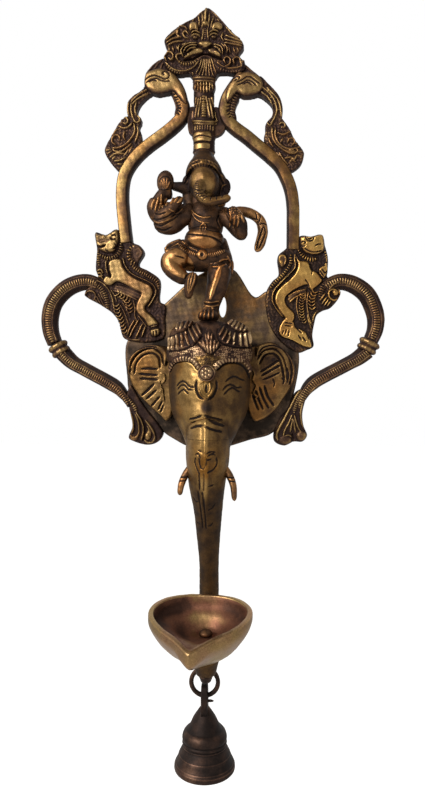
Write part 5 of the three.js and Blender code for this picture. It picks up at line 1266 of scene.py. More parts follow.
def make_headdress():
    wide, deep = 49.0, 39.3
    brow = 24.6
    cap = limb([(HEAD_X, -19, brow - 2, wide * 1.03, deep * 1.12),
        (HEAD_X, -19, brow + 2, wide * 1.06, deep * 1.15),
        (HEAD_X, -19, brow + 7, wide * 1.05, deep * 1.14),
        (HEAD_X, -19, brow + 10, wide * 0.97, deep * 1.04),
        (HEAD_X, -18, brow + 16, wide * 0.8, deep * 0.86),
        (HEAD_X, -17, brow + 22.5, wide * 0.42, deep * 0.5)], side=(1, 0, 0), segments=72,
        rings=48, keel=1.9, cap=0.05)
    saw(cap, (0, -HEAD_BACK, 0), (0, 1, 0))
    domes = [lump((HEAD_X, -28, brow + 12), (20, 20, 20)), lump((HEAD_X - 13.4, -24, brow + 12),
        (21, 23, 21)), lump((HEAD_X + 14.4, -24, brow + 12), (21, 23, 21))]
    bands = []
    for spots in ([-220, 188, 20, 37, 29, 23, 40, 10, 46, -3, 37, -22, 28, -37],
        [55, 196, 25, 28, 40, 23, 45, 8, 46, -9, 36, -30, 17, -40]):
        line = [(x, -brow_front(x, z) - 0.4, z, 3.4, 3.0) for x, z in spots_of(spots)]
        bands.append(limb(line, rings=60, cap=0.04))
    work = Carving(fuse("headdress_casting", [cap, *domes, *bands], smooth=2), 0.3)
    work.stipple(0.45, 1.15, [-217, 280, 35, -21, 77, 14, 55, -28, 42, -48, 31, -11, 38, 17,
        42, 35, 62, 20, 76, -27, 28, 27, 0, 55, -69, -3, -69, 11, -35, 14, -62, -69, -49, 34,
        -28, 35, -62, -27, -91, -14])
    work.panel(0.7, 0.12, 1.0, [-219, 296, 3, 47, 9, 38, 46, 14, 56, 20, 45, 42, 31, -18, 14, -42,
        -14, -34, -35, -31, -48, -24, -56, -12], [75, 432, 42, 24, 14, -18, 34, -24, 42, -12,
        41, 7, 10, -34, 11, -56, -69, -5, -69, 8, -38, 20, -21, 41])
    work.panel(0.8, 0.12, 1.0, [20, 432, 21, -35, 20, -48, 41, -23, -68, -62, -80, 73, 38, 19,
        10, 41])
    work.panel(1.2, 0.12, 0.9, [-175, 405, 5, 38, 23, 25, 62, 3, 25, -16, -39, -31, -41, -16],
        [120, 451, 31, 20, 56, -9, 37, -44, -37, -9, -42, 8])
    work.ridge(0.92, 2.3, [-202, 372, -5, -71], [-182, 376, -2, -76], [-160, 383, 7, -81],
        [-137, 391, 14, -83], [-114, 401, 29, -82], [-90, 414, 39, -73], [-71, 428, 38, -62],
        [-50, 442, 29, -53], [104, 423, -23, -47], [124, 408, -24, -54], [148, 398, -21, -63],
        [172, 392, -12, -67], [200, 391, 0, -71], [223, 395, 8, -75], [244, 400, 16, -76],
        [-27, 338, 20, -24], [-8, 348, 18, -50], [16, 352, 8, -68], [37, 349, 1, -69],
        [58, 344, -5, -53], [78, 337, -10, -30], [7, 383, 4, -26], [23, 390, 2, -36],
        [41, 383, -2, -26], [-163, 413, 6, 35], [-142, 418, 9, 39], [-119, 424, 14, 38],
        [-97, 434, 17, 29], [134, 444, 24, 20], [155, 426, 21, 36], [178, 416, 15, 41],
        [200, 410, 10, 36], [222, 410, 7, 21], polish=0.95)
    work.groove(0.6, 1.0, [-217, 378, 56, 15, 56, 20, 47, 39],
        [117, 449, 17, -12, 31, -25, 42, -12, 44, 7], [-50, 339, 42, -39, 42, -38, 62, 62],
        [-217, 293, 56, 1, 56, 11, 55, 26, 39, 46],
        [75, 423, 2, -47, 19, -38, 48, -21, 63, -6, 62, 8])
    for spots in ([-217, 187, 28, 36, 42, 24, 45, 2, 44, -21, 28, -36],
        [66, 192, 38, 33, 51, 15, 50, -9, 36, -35, 19, -45]):
        work.ridge(1.9, 0.9, spots, polish=0.42)
        work.beads(1.5, 1.3, 1.75, spots, polish=0.62)
    work.chase(uneven=0.05, painted_side_shade=0.6)
    work.finish(6, 0.6, crown_brass, "gold_brass", "headdress")


def make_jewels():
    x, z = HEAD_X, 16.4
    stone = lump((x, -41.3, z), (10.4, 6.4, 10.4), 48, 32)
    work = Carving(fuse("forehead_jewel_casting", [stone], grain=0.3), 0.5)
    around = np.hypot(work.plan[:, 0] - x, work.plan[:, 1] - z)
    work.sunk += 0.5 * ease(np.abs(around - 4.1), 0.5, 0.1)
    work.gold *= 1 - 0.7 * ease(np.abs(around - 4.1), 0.5, 0.2)
    for k in range(6):
        angle = math.radians(60 * k + 30)
        spot = (x + 2.3 * math.cos(angle), z + 2.3 * math.sin(angle))
        work.knob(spot, (1.9, 1.9), 0.6)
    work.knob((x, z), (2, 2), 0.8)
    work.chase(uneven=0.03)
    work.finish(5, 0.7, crown_brass, "gold_brass", "forehead_jewel")

    z = 7.2
    drop = lump((x, -41.0, z), (8.4, 6.0, 10.4), 48, 32)
    work = Carving(fuse("drop_jewel_casting", [drop], grain=0.3), 0.55)
    work.ridge(0.6, 0.7, [-17, 119, -2, -39, 14, -35, 20, -19],
        [49, 119, 3, -39, -15, -35, -19, -19])
    work.groove(0.9, 0.9, [15, 97, -1, -23, 1, -23])
    work.ridge(0.5, 0.6, [-2, 111, -3, -31, 9, -32], [32, 111, 4, -31, -9, -32])
    work.chase(uneven=0.03)
    work.finish(5, 0.6, olive_brass, "gold_brass", "drop_jewel")


def make_left_ear():
    outline = flow([-190, 302, -80, 33, -114, 6, -100, -67, -19, -87, 30, -105, 89, -105, 84, -77,
        34, -30, 30, 20, 22, 70, 19, 120], 7, closed=True)
    work = flat_casting("left_ear_casting", outline, EAR_FRONT, 0.66, back=HEAD_BACK)
    work.ridge(2.7, 1.8, [-502, 165, 1, 60, 21, 53, 50, 45, 64, 17, 61, -13, 38, -42, -4, -60],
        polish=0.45)
    work.groove(0.55, 1.6, [-491, 173, 13, 64, 52, 62, 76, 22, 53, -32, 16, -64])
    work.groove(0.5, 1.4, [-504, 195, 9, 61, 46, 51, 68, 25, 61, -5])
    work.groove(0.7, 1.3, [-464, 165, 11, 60, 42, 51, 61, 17, 41, -30, 8, -60])
    for line, half in (([-419, 195, 46, 2, 54, -3], 0.85), ([-432, 165, 59, -6, 54, -3], 0.9),
        ([-426, 135, 53, -3, 54, -5], 0.9), ([-417, 28, 36, 32, 40, 39], 1.0),
        ([-387, 6, 29, 27, 32, 28], 0.9), ([-358, -40, 27, 31, 28, 31], 0.8),
        ([-312, -60, 11, 26, 13, 26], 0.6), ([-297, -75, 9, 22, 10, 23], 0.6)):
        work.groove(half, 1.0, line)
    work.ridge(0.6, 1.0, [-297, 165, 22, -8, 4, -30, -17, -24], [-286, 75, 5, -45, 6, -38],
        [-305, 120, 11, -38, -2, -37], polish=0.6)
    work.relief(EAR_FRONT, back=HEAD_BACK, edge=1.6, outline=outline)
    work.finish(8, 0.45, amber_brass, "gold_brass", "left_ear")


def make_right_ear():
    outline = flow([205, 310, 77, 23, 110, 24, 88, -62, 49, -79, 0, -91, -49, -88, -88, -119,
        -72, -42, -34, -6, -36, 50, -24, 100, -16, 120], 7, closed=True)
    work = flat_casting("right_ear_casting", outline, EAR_FRONT, 0.56, back=HEAD_BACK)
    work.ridge(2.6, 1.8, [302, 284, 12, 37, 48, 22, 66, -2, 59, -32, 33, -63, 11, -82, -18, -74],
        polish=0.4)
    work.groove(0.5, 1.4, [310, 291, 29, 33, 67, 11, 59, -30, 37, -66, 9, -75, -13, -66],
        [302, 254, 37, 48, 67, 11, 44, -37, 26, -67, 10, -89])
    work.groove(0.75, 1.4, [314, 224, 33, 52, 52, 11, 37, -33, 18, -60, 11, -67])
    work.panel(0.0, 0.2, 1.0, [314, 224, 37, 48, 48, 10, 33, -32, -56, -41, -51, -30])
    for line, half in (([321, 176, 55, 33, 61, 39], 0.9), ([328, 153, 57, 32, 59, 33], 0.9),
        ([336, 127, 49, 19, 51, 24], 0.7), ([450, 142, 14, -22, -6, -19], 0.6),
        ([484, 194, 7, -44, -7, -45], 0.6), ([395, 135, 11, -30, -4, -24], 0.5),
        ([343, 90, 22, -67, 37, -55], 0.9), ([314, 79, 22, -63, 33, -63], 0.9),
        ([291, 60, 19, -59, 26, -56], 0.8), ([273, 31, 15, -45, 18, -44], 0.8)):
        work.groove(half, 1.0, line)
    work.ridge(0.7, 1.0, [269, 194, 15, -29, -11, -38], [276, 120, 19, -30, -15, -37],
        [273, 46, 29, -23, -18, -15], polish=0.5)
    work.relief(EAR_FRONT, back=HEAD_BACK, edge=1.6, outline=outline)
    work.finish(8, 0.45, amber_brass, "gold_brass", "right_ear")


# Tusks


def make_tusk(name, node, side, drop):
    wide = 4.3
    horn = limb([(HEAD_X + side * 9, -34, -37, wide), (HEAD_X + side * 13, -35.5, -43, wide),
        (HEAD_X + side * 15, -37, -48, wide * 0.9),
        (HEAD_X + side * 15.8, -38, -48 - drop, wide * 0.7)], segments=36, rings=40, cap=0.12)
    work = Carving(fuse(name, [horn], grain=0.35), 0.6)
    z = work.plan[:, 1]
    for cut in (43.5, 45.6):
        work.sunk += 0.4 * ease(np.abs(z + cut), 0.5, 0.1)
        work.gold *= 1 - 0.8 * ease(np.abs(z + cut), 0.6, 0.2)
    work.chase(uneven=0.06)
    work.finish(5, 0.5, copper_brass, "gold_brass", node)


# Oil bowl, its bolt and its nut


def make_bowl():
    rim, back, length, foot = -111.6, 34.0, 61.0, -142.1
    floor = foot + 12.5
    middle = back + 23
    leaf = flow([0, 230, 130, -14, 100, -61, 53, -105, -11, -110, -66, -114, -114, -102,
        -108, -102, -14, 0, -88, 100, -96, 104, -62, 114, -7, 110, 53, 105, 100, 61], 8,
        closed=True)
    angle = np.unwrap(np.arctan2(leaf[:, 1], leaf[:, 0]))
    order = np.argsort(np.mod(angle, 2 * math.pi))
    angle = np.mod(angle, 2 * math.pi)[order]
    reach = np.hypot(*leaf.T)[order]

    def rings(turn):
        wall = 1 - 6 / 57
        radius = np.interp(np.mod(turn, 2 * math.pi), angle, reach, period=2 * math.pi)
        table = [(0.02, 0.4, 1, 0, floor, 1), (0.15, 3, 1, 0, floor, 1), (0.3, 6, 1, 0, floor, 1),
            (0.42, 11, 0.5, 8, floor + 1.6, 0.9), (0.62, 15, 0.2, 8, floor + 6, 0.6),
            (wall * 0.93, 20, 0, 6, floor + 10, 0.15), (wall * 0.985, 20, 0, 1.6, 0, 0),
            (wall * 1.005, 20, 0, 0.3, 0, 0), (wall * 1.03, 20, 0, 0, 0, 0),
            (0.975, 20, 0, 0, 0, 0), (0.995, 20, 0, 0.4, 0, 0), (1, 20, 0, 1.6, 0, 0),
            (0.985, 20, 0, 5.5, 0, 0), (0.87, 20, 0.05, 12, floor + 2, 0.3),
            (0.68, 15, 0.2, 19, foot + 7.5, 0.6), (0.45, 10, 0.5, 24, foot + 2.4, 0.9),
            (0.34, 8.4, 0.9, 24, foot + 1, 1), (0.3, 8, 1, 0, foot, 1), (0.15, 4, 1, 0, foot, 1),
            (0.02, 0.4, 1, 0, foot, 1)]
        out = []
        for share, circle, round_, drop, flat, level in table:
            x0 = -0.8 * (1 - round_) + BOLT_X * round_
            y0 = -middle * (1 - round_) + BOLT_Y * round_
            away = (1 - round_) * share * radius + round_ * circle
            x, y = x0 + away * np.cos(turn), y0 + away * np.sin(turn)
            along = (-back - y) / length
            lip = rim - 6.2 * along - 3.9 * along**3
            deep = drop * (1 + 0.32 * ease(along, 0.8, 1.0))
            out.append(np.column_stack([x, y, (1 - level) * (lip - deep) + level * flat]))
        return out

    steps = 5

    def surface(rise, turn):
        stack = np.stack(rings(turn))
        count = len(stack)
        at = rise * (count - 1)
        low = np.clip(at.astype(int), 0, count - 2)
        t = (at - low)[:, None]
        pick = np.arange(len(rise))
        a = stack[np.maximum(low - 1, 0), pick]
        b = stack[low, pick]
        c = stack[low + 1, pick]
        d = stack[np.minimum(low + 2, count - 1), pick]
        return b + 0.5 * t * (c - a + t * (2 * a - 5 * b + 4 * c - d + t * (3 * (b - c) + d - a)))

    blank = globe("oil_bowl_casting", 160, 19 * steps, surface)
    spots = read_spots(blank)
    normals = read_normals(blank)
    along = (-back - spots[:, 1]) / length
    below = rim - 6.2 * along - 3.9 * along**3 - spots[:, 2]
    inwards = np.sum(normals[:, :2] * (spots[:, :2] - (-0.8, -middle)), axis=1) < 0
    inner = (below > 0.7) & ((normals[:, 2] > 0.15) | inwards)
    write_spots(blank,
        spots + normals * (0.09 * ripple(spots, 2.2) + 0.1 * ripple(spots, 6))[:, None])
    gold = np.where(inner, 0.34, 0.72)
    gold = gold + np.where(inner, 0.07 * ripple(spots, 7), 0.06 * ripple(spots, 5))
    # Inside the bowl: a painted highlight (the sheen) down the middle, painted shade on the left
    # wall, and lighter towards the spout.
    sheen = ease(spots[:, 0], -9, -6) * ease(spots[:, 0], 14, 4) * ease(spots[:, 1], -62, -50)
    gold += np.where(inner, 0.17 * sheen - 0.14 * ease(spots[:, 0], -6, -16), 0)
    gold += np.where(inner,
        0.12 * ease(spots[:, 1], -58, -72) * ease(np.abs(spots[:, 0] + 2), 14, 6), 0)
    weather(blank, gold, 8, 0.4)
    hand_over(blank, "root", bowl_brass, "copper_brass", "oil_bowl")

    floor_rest = floor + 0.3
    profile = [(1.0, -155.7), (1.8, -155.4), (1.8, floor_rest), (3.6, floor_rest),
        (3.9, floor_rest + 0.4), (3.8, floor_rest + 1.2), (3.3, floor_rest + 2.0),
        (2.5, floor_rest + 2.6), (1.3, floor_rest + 3.0)]
    bolt = turned("bowl_bolt_turned", profile, BOLT_X, BOLT_Y, segments=48)
    spots = read_spots(bolt)
    wobble = (0.08 * ripple(spots, 1.1))[:, None] * (spots[:, 2:3] > floor_rest + 0.2)
    write_spots(bolt, spots + read_normals(bolt) * wobble)
    weather(bolt, 0.35, 3, 0.4)
    hand_over(bolt, "root", copper_brass, "copper_brass", "bowl_bolt")

    top = -151.7
    profile = [(2.2, top - 2.9), (2.2, top - 3.4), (2.7, top - 3.4), (2.9, top - 3.1),
        (3.2, top - 2.2), (3.7, top - 1.0), (4.0, top - 0.3), (3.95, top), (2.2, top)]
    nut = turned("bowl_nut_turned", profile, BOLT_X, BOLT_Y, segments=48, flutes=6, flute=0.015)
    weather(nut, 0.3, 3, 0.5)
    hand_over(nut, "root", dark_brass, "dark_brass", "bowl_nut")


# Lug, ring, bell and clapper


def tongue(name, x, thickness, outline, hole, radius):
    """A flat tongue across X with a round hole."""
    blank = slab(name, flow(outline, 4, closed=True), -thickness / 2, thickness / 2)
    spots = read_spots(blank)
    write_spots(blank, np.column_stack([x + spots[:, 1], spots[:, 0], spots[:, 2]]))
    turn_outwards(blank)
    let_go()
    bpy.ops.mesh.primitive_cylinder_add(vertices=48, radius=radius * MM, depth=0.03,
        rotation=(0, math.pi / 2, 0))
    bore = settle()
    write_spots(bore, read_spots(bore) + (x, hole[0], hole[1]))
    hollow(blank, bore)
    return blank


def make_lug():
    x, y = RING_AT
    hole = -151.75
    edge = 4.5
    low = hole - 2.6 - 4.6
    outline = [(y - edge, -143.6), (y - edge, low + 4), (y - 2.6, low + 0.3),
        (y + 2.6, low + 0.3), (y + edge, low + 4), (y + edge, -143.6)]
    plain = tongue("blank", x, 4, outline, (y, hole), 2.6)
    blank = fuse("ring_lug_casting", [plain], grain=0.35, smooth=2)
    spots = read_spots(blank)
    write_spots(blank, spots + read_normals(blank) * (0.07 * ripple(spots, 1.6))[:, None])
    weather(blank, 0.35, 6, 0.5)
    hand_over(blank, "root", dark_brass, "dark_brass", "ring_lug")


def make_ring():
    x, y = RING_AT
    let_go()
    bpy.ops.mesh.primitive_torus_add(major_segments=96, minor_segments=20,
        major_radius=RING_RADIUS * MM, minor_radius=1.4 * MM, rotation=(math.pi / 2, 0, 0))
    ring = settle()
    ring.name = "ring_wire"
    spots = read_spots(ring)
    turn = np.arctan2(spots[:, 2], spots[:, 0])
    away = np.hypot(spots[:, 0], spots[:, 2])
    middle = RING_RADIUS * np.column_stack([np.cos(turn), np.zeros(len(spots)), np.sin(turn)])
    thick = 1 - 0.05 * (1 + np.sin(5 * turn + 1)) / 2 - 0.04 * (1 + np.cos(2 * turn)) / 2
    seam = 1 - 0.12 * np.exp(-(((turn - 0.3) / 0.05) ** 2))
    spots = middle + (spots - middle) * (thick * seam)[:, None]
    write_spots(ring, spots + (x, y, RING_Z))
    turn_outwards(ring)
    weather(ring, 0.3 + 0.25 * ease(away, 8.2, 9.0), 4, 0.4)
    hand_over(ring, "ring", dark_brass, "dark_brass", "ring")


def make_bell():
    x, y = RING_AT
    top, high, half = -174.25, 34.8, 17.4
    outer = [(0.12, 0.0), (0.17, 0.01), (0.25, 0.07), (0.30, 0.105), (0.357, 0.15), (0.40, 0.19),
        (0.437, 0.235), (0.49, 0.285), (0.55, 0.335), (0.575, 0.35), (0.63, 0.36), (0.69, 0.395),
        (0.72, 0.435), (0.735, 0.465), (0.735, 0.49), (0.725, 0.51), (0.698, 0.525),
        (0.698, 0.532), (0.727, 0.545), (0.735, 0.558), (0.727, 0.572), (0.705, 0.585),
        (0.703, 0.592), (0.722, 0.6), (0.726, 0.607), (0.715, 0.62), (0.74, 0.64), (0.79, 0.69),
        (0.825, 0.73), (0.833, 0.734), (0.838, 0.744), (0.85, 0.752), (0.875, 0.79),
        (0.91, 0.835), (0.935, 0.865), (0.946, 0.868), (0.95, 0.877), (0.962, 0.885),
        (0.972, 0.902), (0.982, 0.905), (0.99, 0.915), (0.998, 0.94), (1.0, 0.965), (0.99, 0.985),
        (0.965, 0.998), (0.93, 1.0)]
    inner = [(0.955, 1.0), (0.93, 0.85), (0.8, 0.72), (0.71, 0.6), (0.7, 0.46), (0.53, 0.33),
        (0.36, 0.25)]
    path = [(r * half, top - drop * high) for r, drop in outer]
    path += [(r * half - 2, top - drop * high) for r, drop in inner[1:]]
    path += [(2, -181.75), (0.5, -181.75)]
    body = turned("bell_casting", path, x, y, segments=128)
    edge, hole, eye_top = 4.5, -168.25, -161.4
    outline = [(y - edge, -178.6), (y - edge, eye_top - 3.4), (y - 2.2, eye_top),
        (y + 2.2, eye_top), (y + edge, eye_top - 3.4), (y + edge, -178.6)]
    eye = fuse("eye", [tongue("blank", x, 3.7, outline, (y, hole), 2.6)], grain=0.35, smooth=2)
    flash = lump((x + 3.0, y + 1, -171.2), (4.4, 1.4, 1.6), 16, 10)
    join([body, eye, flash])
    spots = read_spots(body)
    normals = read_normals(body)
    outside = spots[:, 2] > top - high * 0.99
    wobble = 0.05 * ripple(spots, 3.0) * outside
    write_spots(body, spots + normals * wobble[:, None])
    level = top - spots[:, 2]
    # Painted light on the lower left of the flare.
    gold = 0.2 + 0.26 * ease(level, 14, 30) * ease(-spots[:, 0], -6, 12)
    for height in (0.607, 0.744, 0.877, 0.915):
        gold += 0.4 * ease(np.abs(level / high - height), 0.008, 0.002)
    away = np.hypot(spots[:, 0] - x, spots[:, 1] - y)
    # Painted shade on the downward-facing inside of the bell.
    gold = np.where((normals[:, 2] < -0.2) & (away < 16), 0.1, gold)
    weather(body, gold, 4, 0.5)
    hand_over(body, "bell", dark_brass, "dark_brass", "bell")
    bpy.ops.object.shade_smooth_by_angle(angle=math.radians(50))


def wire_eye(name, x, y, z, width, wire, across):
    """A small eye of bent wire; across turns it square to the viewer's line of sight."""
    let_go()
    turn = (0, math.pi / 2, 0) if across else (math.pi / 2, 0, 0)
    bpy.ops.mesh.primitive_torus_add(major_segments=48, minor_segments=14,
        major_radius=width / 2 * MM, minor_radius=wire / 2 * MM, rotation=turn)
    loop = settle()
    loop.name = name
    spots = read_spots(loop)
    write_spots(loop, spots * (1 - 0.02 * ripple(spots, 1.2))[:, None] + (x, y, z))
    return loop


def make_clapper():
    x, y = RING_AT
    staple_z = -182.55
    staple = wire_eye("clapper_staple_wire", x, y, staple_z, 5.4, 1.6, False)
    turn_outwards(staple)
    weather(staple, 0.25, 3, 0.4)
    hand_over(staple, "bell", dark_brass, "dark_brass", "clapper_staple")
    eye_z = -185.25 + 1.6 + 0.3 - 2.7
    eye = wire_eye("clapper_wire", x, y, eye_z, 5.4, 1.6, True)
    ball_z = -204.25
    profile = [(0.3, ball_z - 3.7), (1.5, ball_z - 3.4), (2.8, ball_z - 2.4), (3.5, ball_z - 1.0),
        (3.7, ball_z), (3.5, ball_z + 1.0), (2.9, ball_z + 2.3), (1.9, ball_z + 3.2),
        (1.2, ball_z + 3.7)]
    profile += [(0.96, ball_z + 5), (0.96, eye_z - 2.9)]
    rod = turned("rod", profile, x, y, segments=36)
    join([eye, rod])
    eye.name = "clapper_casting"
    turn_outwards(eye)
    weather(eye, 0.3, 3, 0.4)
    hand_over(eye, "clapper", dark_brass, "dark_brass", "clapper")


# The dancing elephant-headed figure


def posed(*stations):
    """Stations of the figure, given from the middle of its standing foot, in the lamp's frame."""
    return [(s[0] + FIGURE_X, s[1], s[2] + FIGURE_Z, *s[3:]) for s in stations]


def figure_limb(*stations, **shape):
    return limb(posed(*stations), **shape)


def figure_lump(at, size):
    return lump(posed(at)[0], size, 36, 24)


def make_figure_head():
    crown = limb(posed((0, -8, 105, 11.5, 12), (0, -11, 99, 16, 16), (0.2, -14, 93.5, 21.5, 19),
        (0.6, -15.5, 89, 23, 21)), side=(1, 0, 0), segments=48)
    face = figure_lump((0.9, -19, 84.2), (18.5, 17.6, 22))
    left_lobe = figure_lump((-9.8, -15.5, 86), (6, 4.4, 9))
    right_lobe = figure_lump((12.6, -14.5, 83), (8.4, 5, 11))
    snout = limb(posed((1.4, -22.2, 87, 8), (-0.4, -25.0, 81, 7.6), (-1.4, -27.8, 75.6, 6.6),
        (2.6, -29.4, 70.8, 5.8), (8.6, -28.6, 70.4, 5), (13.4, -27.2, 71.8, 4.4),
        (17.2, -25.8, 73.8, 3.6)))
    wrist = figure_limb((-8, -14, 82, 9), (-14, -16, 83, 6.4), (-19, -17, 83.6, 5))
    left_hair = figure_limb((-4, -12, 94, 9, 8), (-8, -12, 84, 10, 9), (-8.4, -12, 75, 10, 9),
        (-6, -13, 66, 9, 7))
    right_hair = figure_limb((5.5, -12, 94, 9, 9), (10.4, -12, 85, 10, 9), (9.6, -12, 76, 10, 9),
        (8, -13, 68, 9, 7))
    work = Carving(fuse("figure_head_casting", [crown, face, left_lobe, right_lobe, snout, wrist,
        left_hair, right_hair], 0.36, 3), 0.3)
    work.panel(0.0, 0.68, 1.6, [-107, 1341, 26, 40, 51, 15, 53, -11, 33, -47, 0, -67, -20, -39,
        27, -27, 66, 25, 20, -27, -86, -38, -67, -12, -50, 41, -20, 60, -30, 34])
    work.groove(0.8, 1.0, [-137, 1319, 23, 43, 37, 29, 53, 12, 60, -13, 40, -36, 23, -44])
    work.ridge(0.8, 0.8, [-127, 1369, 43, 35, 60, 10, 67, -13, 47, -44], polish=0.55)
    work.ridge(0.6, 0.7, [-104, 1421, 40, 16, 47, 2, 53, -14, 27, -18], polish=0.5)
    work.knob((-2.6, 142.5), (3.2, 4.0), 1.3, polish=0.8)
    work.beads(1.9, 0.4, 1.3, [-54, 1287, -2, -27, 12, -42, 27, -30], polish=0.7)
    work.ridge(1.7, 0.6, [-24, 1192, 22, -12, 56, 4, 42, 14, 33, 14], polish=0.62)
    work.beads(1.1, 0.5, 1.7, [-120, 1371, 43, 24, 53, 10, 60, -11, 42, -31], polish=0.42)
    work.ridge(0.55, 0.9, [-89, 1425, 8, -19], [-70, 1434, 8, -23], [-49, 1440, 4, -25],
        [-4, 1439, 0, -25], [16, 1434, 2, -23], [36, 1427, 4, -24], polish=0.42)
    work.groove(0.4, 0.45, [-67, 1247, 23, -10, 27, 6], [-60, 1224, 23, -12, 27, 11],
        [-44, 1200, 20, -3, 24, 12], [-17, 1173, 13, 13, 14, 17], [26, 1172, 7, 17, 3, 13],
        [63, 1178, 3, 17, -3, 13], [96, 1191, 0, 13, -3, 10])
    work.groove(0.5, 0.6, [90, 1264, 13, 30, 23, 3, 7, -27, -17, -26])
    work.ridge(0.6, 0.6, [76, 1245, 14, 52, 26, 13], polish=0.5)
    work.gold *= 1 - 0.6 * ease(-work.plan[:, 0], 12.4, 15)
    x, z = work.plan.T
    # Painted shade on the sides of the face.
    work.gold *= (
        1 - 0.6 * ease(np.abs(x + 2.2), 6.0, 8.2) * ease(z, 121, 125) * ease(-z, -143, -138))
    work.chase(uneven=0.1, painted_side_shade=0.7)
    work.finish(8, 0.7, amber_brass, "copper_brass", "figure_crown", "figure_head",
        "figure_trunk")


def make_figure_body():
    chest = figure_lump((1.6, -16, 61), (22, 17, 29))
    belly = figure_lump((0.9, -19, 50), (24, 20, 17))
    hips = figure_lump((-1.7, -17, 39.5), (39, 18, 17))
    drape = figure_limb((9.5, -14, 52, 8), (11.8, -15, 44, 11, 9), (13.4, -14, 35, 9, 10),
        (12, -12, 25, 8, 7))
    hem = figure_limb((-9, -17, 47, 9), (-16, -17, 44.5, 9, 11), (-21.5, -19, 41, 6, 10))
    thigh = limb(posed((-8.3, -20, 40, 15, 14), (-14.4, -22.5, 38.8, 14, 14),
        (-18.6, -23.5, 36, 12.4, 13), (-16.6, -25, 30.8, 11, 11), (-11.6, -26, 26.6, 9.6, 9),
        (-7.6, -26.5, 24.4, 8, 7.4)), cap=0.2)
    raised_foot = limb(posed((-4.6, -27, 29, 5, 6), (-6.2, -28, 24, 7, 7.4),
        (-7.4, -28, 19, 5.6, 6), (-7.8, -27, 13.5, 3.4, 4)))
    leg = limb(posed((10.7, -18, 36, 17, 15), (8.9, -19, 23, 12.4, 13), (6.1, -21, 12, 9.2, 10),
        (4.3, -22, 4, 8.8, 9)), cap=0.12)
    foot = figure_lump((4.0, -25, 3.4), (13, 14.6, 8))
    neck = figure_lump((1, -13.5, 74), (18, 11, 16))
    parts = [chest, belly, hips, drape, hem, thigh, raised_foot, leg, foot, neck]
    work = Carving(fuse("figure_body_casting", parts, 0.36, 4), 0.28)
    work.panel(0.0, 0.8, 2.2, [-117, 969, 47, 7, 53, -2, 53, -9, 34, -26, -27, -29, -47, -10,
        -53, 11, -37, 24])
    work.panel(0.2, 0.5, 1.0, [-121, 1039, 51, -13, 53, -4, 53, -16, 54, -2, 6, -45, -60, 9,
        -53, 10, -53, 6, -61, 18])
    work.groove(0.55, 0.7, [-124, 1042, 54, -14, 53, -6, 53, -15, 57, 0],
        [-134, 1001, 64, -17, 53, -8, 53, -8, 54, -26], [-111, 1155, 14, -34, -10, -53],
        [76, 1118, -13, -39, 17, -40], [-158, 956, 47, -41, 54, -34])
    for line, half, high in (([-107, 1175, 26, -44, 31, -27, 33, -12, 40, 4], 0.8, 0.8),
        ([-97, 1148, 27, -54, 36, -27, 50, -7], 0.5, 0.5),
        ([-34, 1007, 0, 33, 17, 15, 13, -15, 0, -33], 0.6, 0.8), ([-18, 1034, 1, -27], 0.4, 0.6)):
        work.ridge(half, high, line, polish=0.5)
    work.beads(1.5, 0.9, 1.15, [-171, 943, 47, -41, 54, -26, 21, -8], polish=0.75)
    work.beads(1.5, 0.9, 1.15, [4, 867, 52, 7, 50, 25], polish=0.55)
    work.beads(0.7, 0.5, 0.9, [-147, 956, 40, -33, 50, -27], polish=0.7)
    work.knob((-2.4, 86.9), (6.4, 6.4), 1.4, polish=0.75)
    buckle = np.array((-2.4, 86.7))
    around = np.hypot(*(work.plan - buckle).T)
    work.sunk += 0.7 * ease(1.4 - around, 0, 0.8)
    work.gold *= 1 - 0.7 * ease(1.5 - around, 0, 0.8)
    work.ridge(0.8, 0.8, [26, 817, 37, 6, 33, 20, 27, 6], [33, 797, 43, -1, 40, 16],
        [-252, 904, 14, 33, 33, 23, 42, 13], [-238, 890, 27, 33, 40, 20],
        [149, 845, 7, -33, -10, -40], [123, 865, 16, -40, -10, -33], polish=0.5)
    work.panel(0.0, 0.92, 1.6, [-264, 854, 26, 46, 60, 11, 41, -24, 46, -39, 21, -47, -27, -73,
        -34, -9, -60, 24, -61, 54])
    work.groove(0.6, 0.8, [-181, 859, 27, -7, 27, -7])
    work.groove(0.7, 0.8, [-70, 795, -27, -33, -24, -40])
    work.ridge(0.55, 0.5, [-70, 781, -11, -59, -20, -87], [-87, 755, -14, -53, -4, -53],
        [-60, 761, -7, -53, -24, -60], polish=0.75)
    work.ridge(2.2, 0.9, [83, 793, -23, -66, -24, -66, -13, -53], polish=0.75)
    work.ridge(0.7, 0.7, [-12, 593, 38, -9, 45, 10], [-18, 571, 44, -11, 47, 11], polish=0.45)
    work.groove(0.5, 0.6, [-16, 581, 42, -9, 47, 10])
    work.ridge(0.75, 0.8, [-34, 488, 10, 27, 7, 26], [-9, 483, 5, 32, 4, 30],
        [16, 483, 4, 31, -2, 34], [40, 488, 3, 26, -7, 34], polish=0.55)
    work.ridge(0.5, 0.5, [-24, 545, 20, 13, 27, 2, 23, -12], polish=0.6)
    work.chase(uneven=0.12, painted_side_shade=0.45)
    work.finish(8, 0.7, copper_brass, "copper_brass", "figure_torso", "figure_belt",
        "figure_skirt", "figure_raised_leg", "figure_standing_leg")


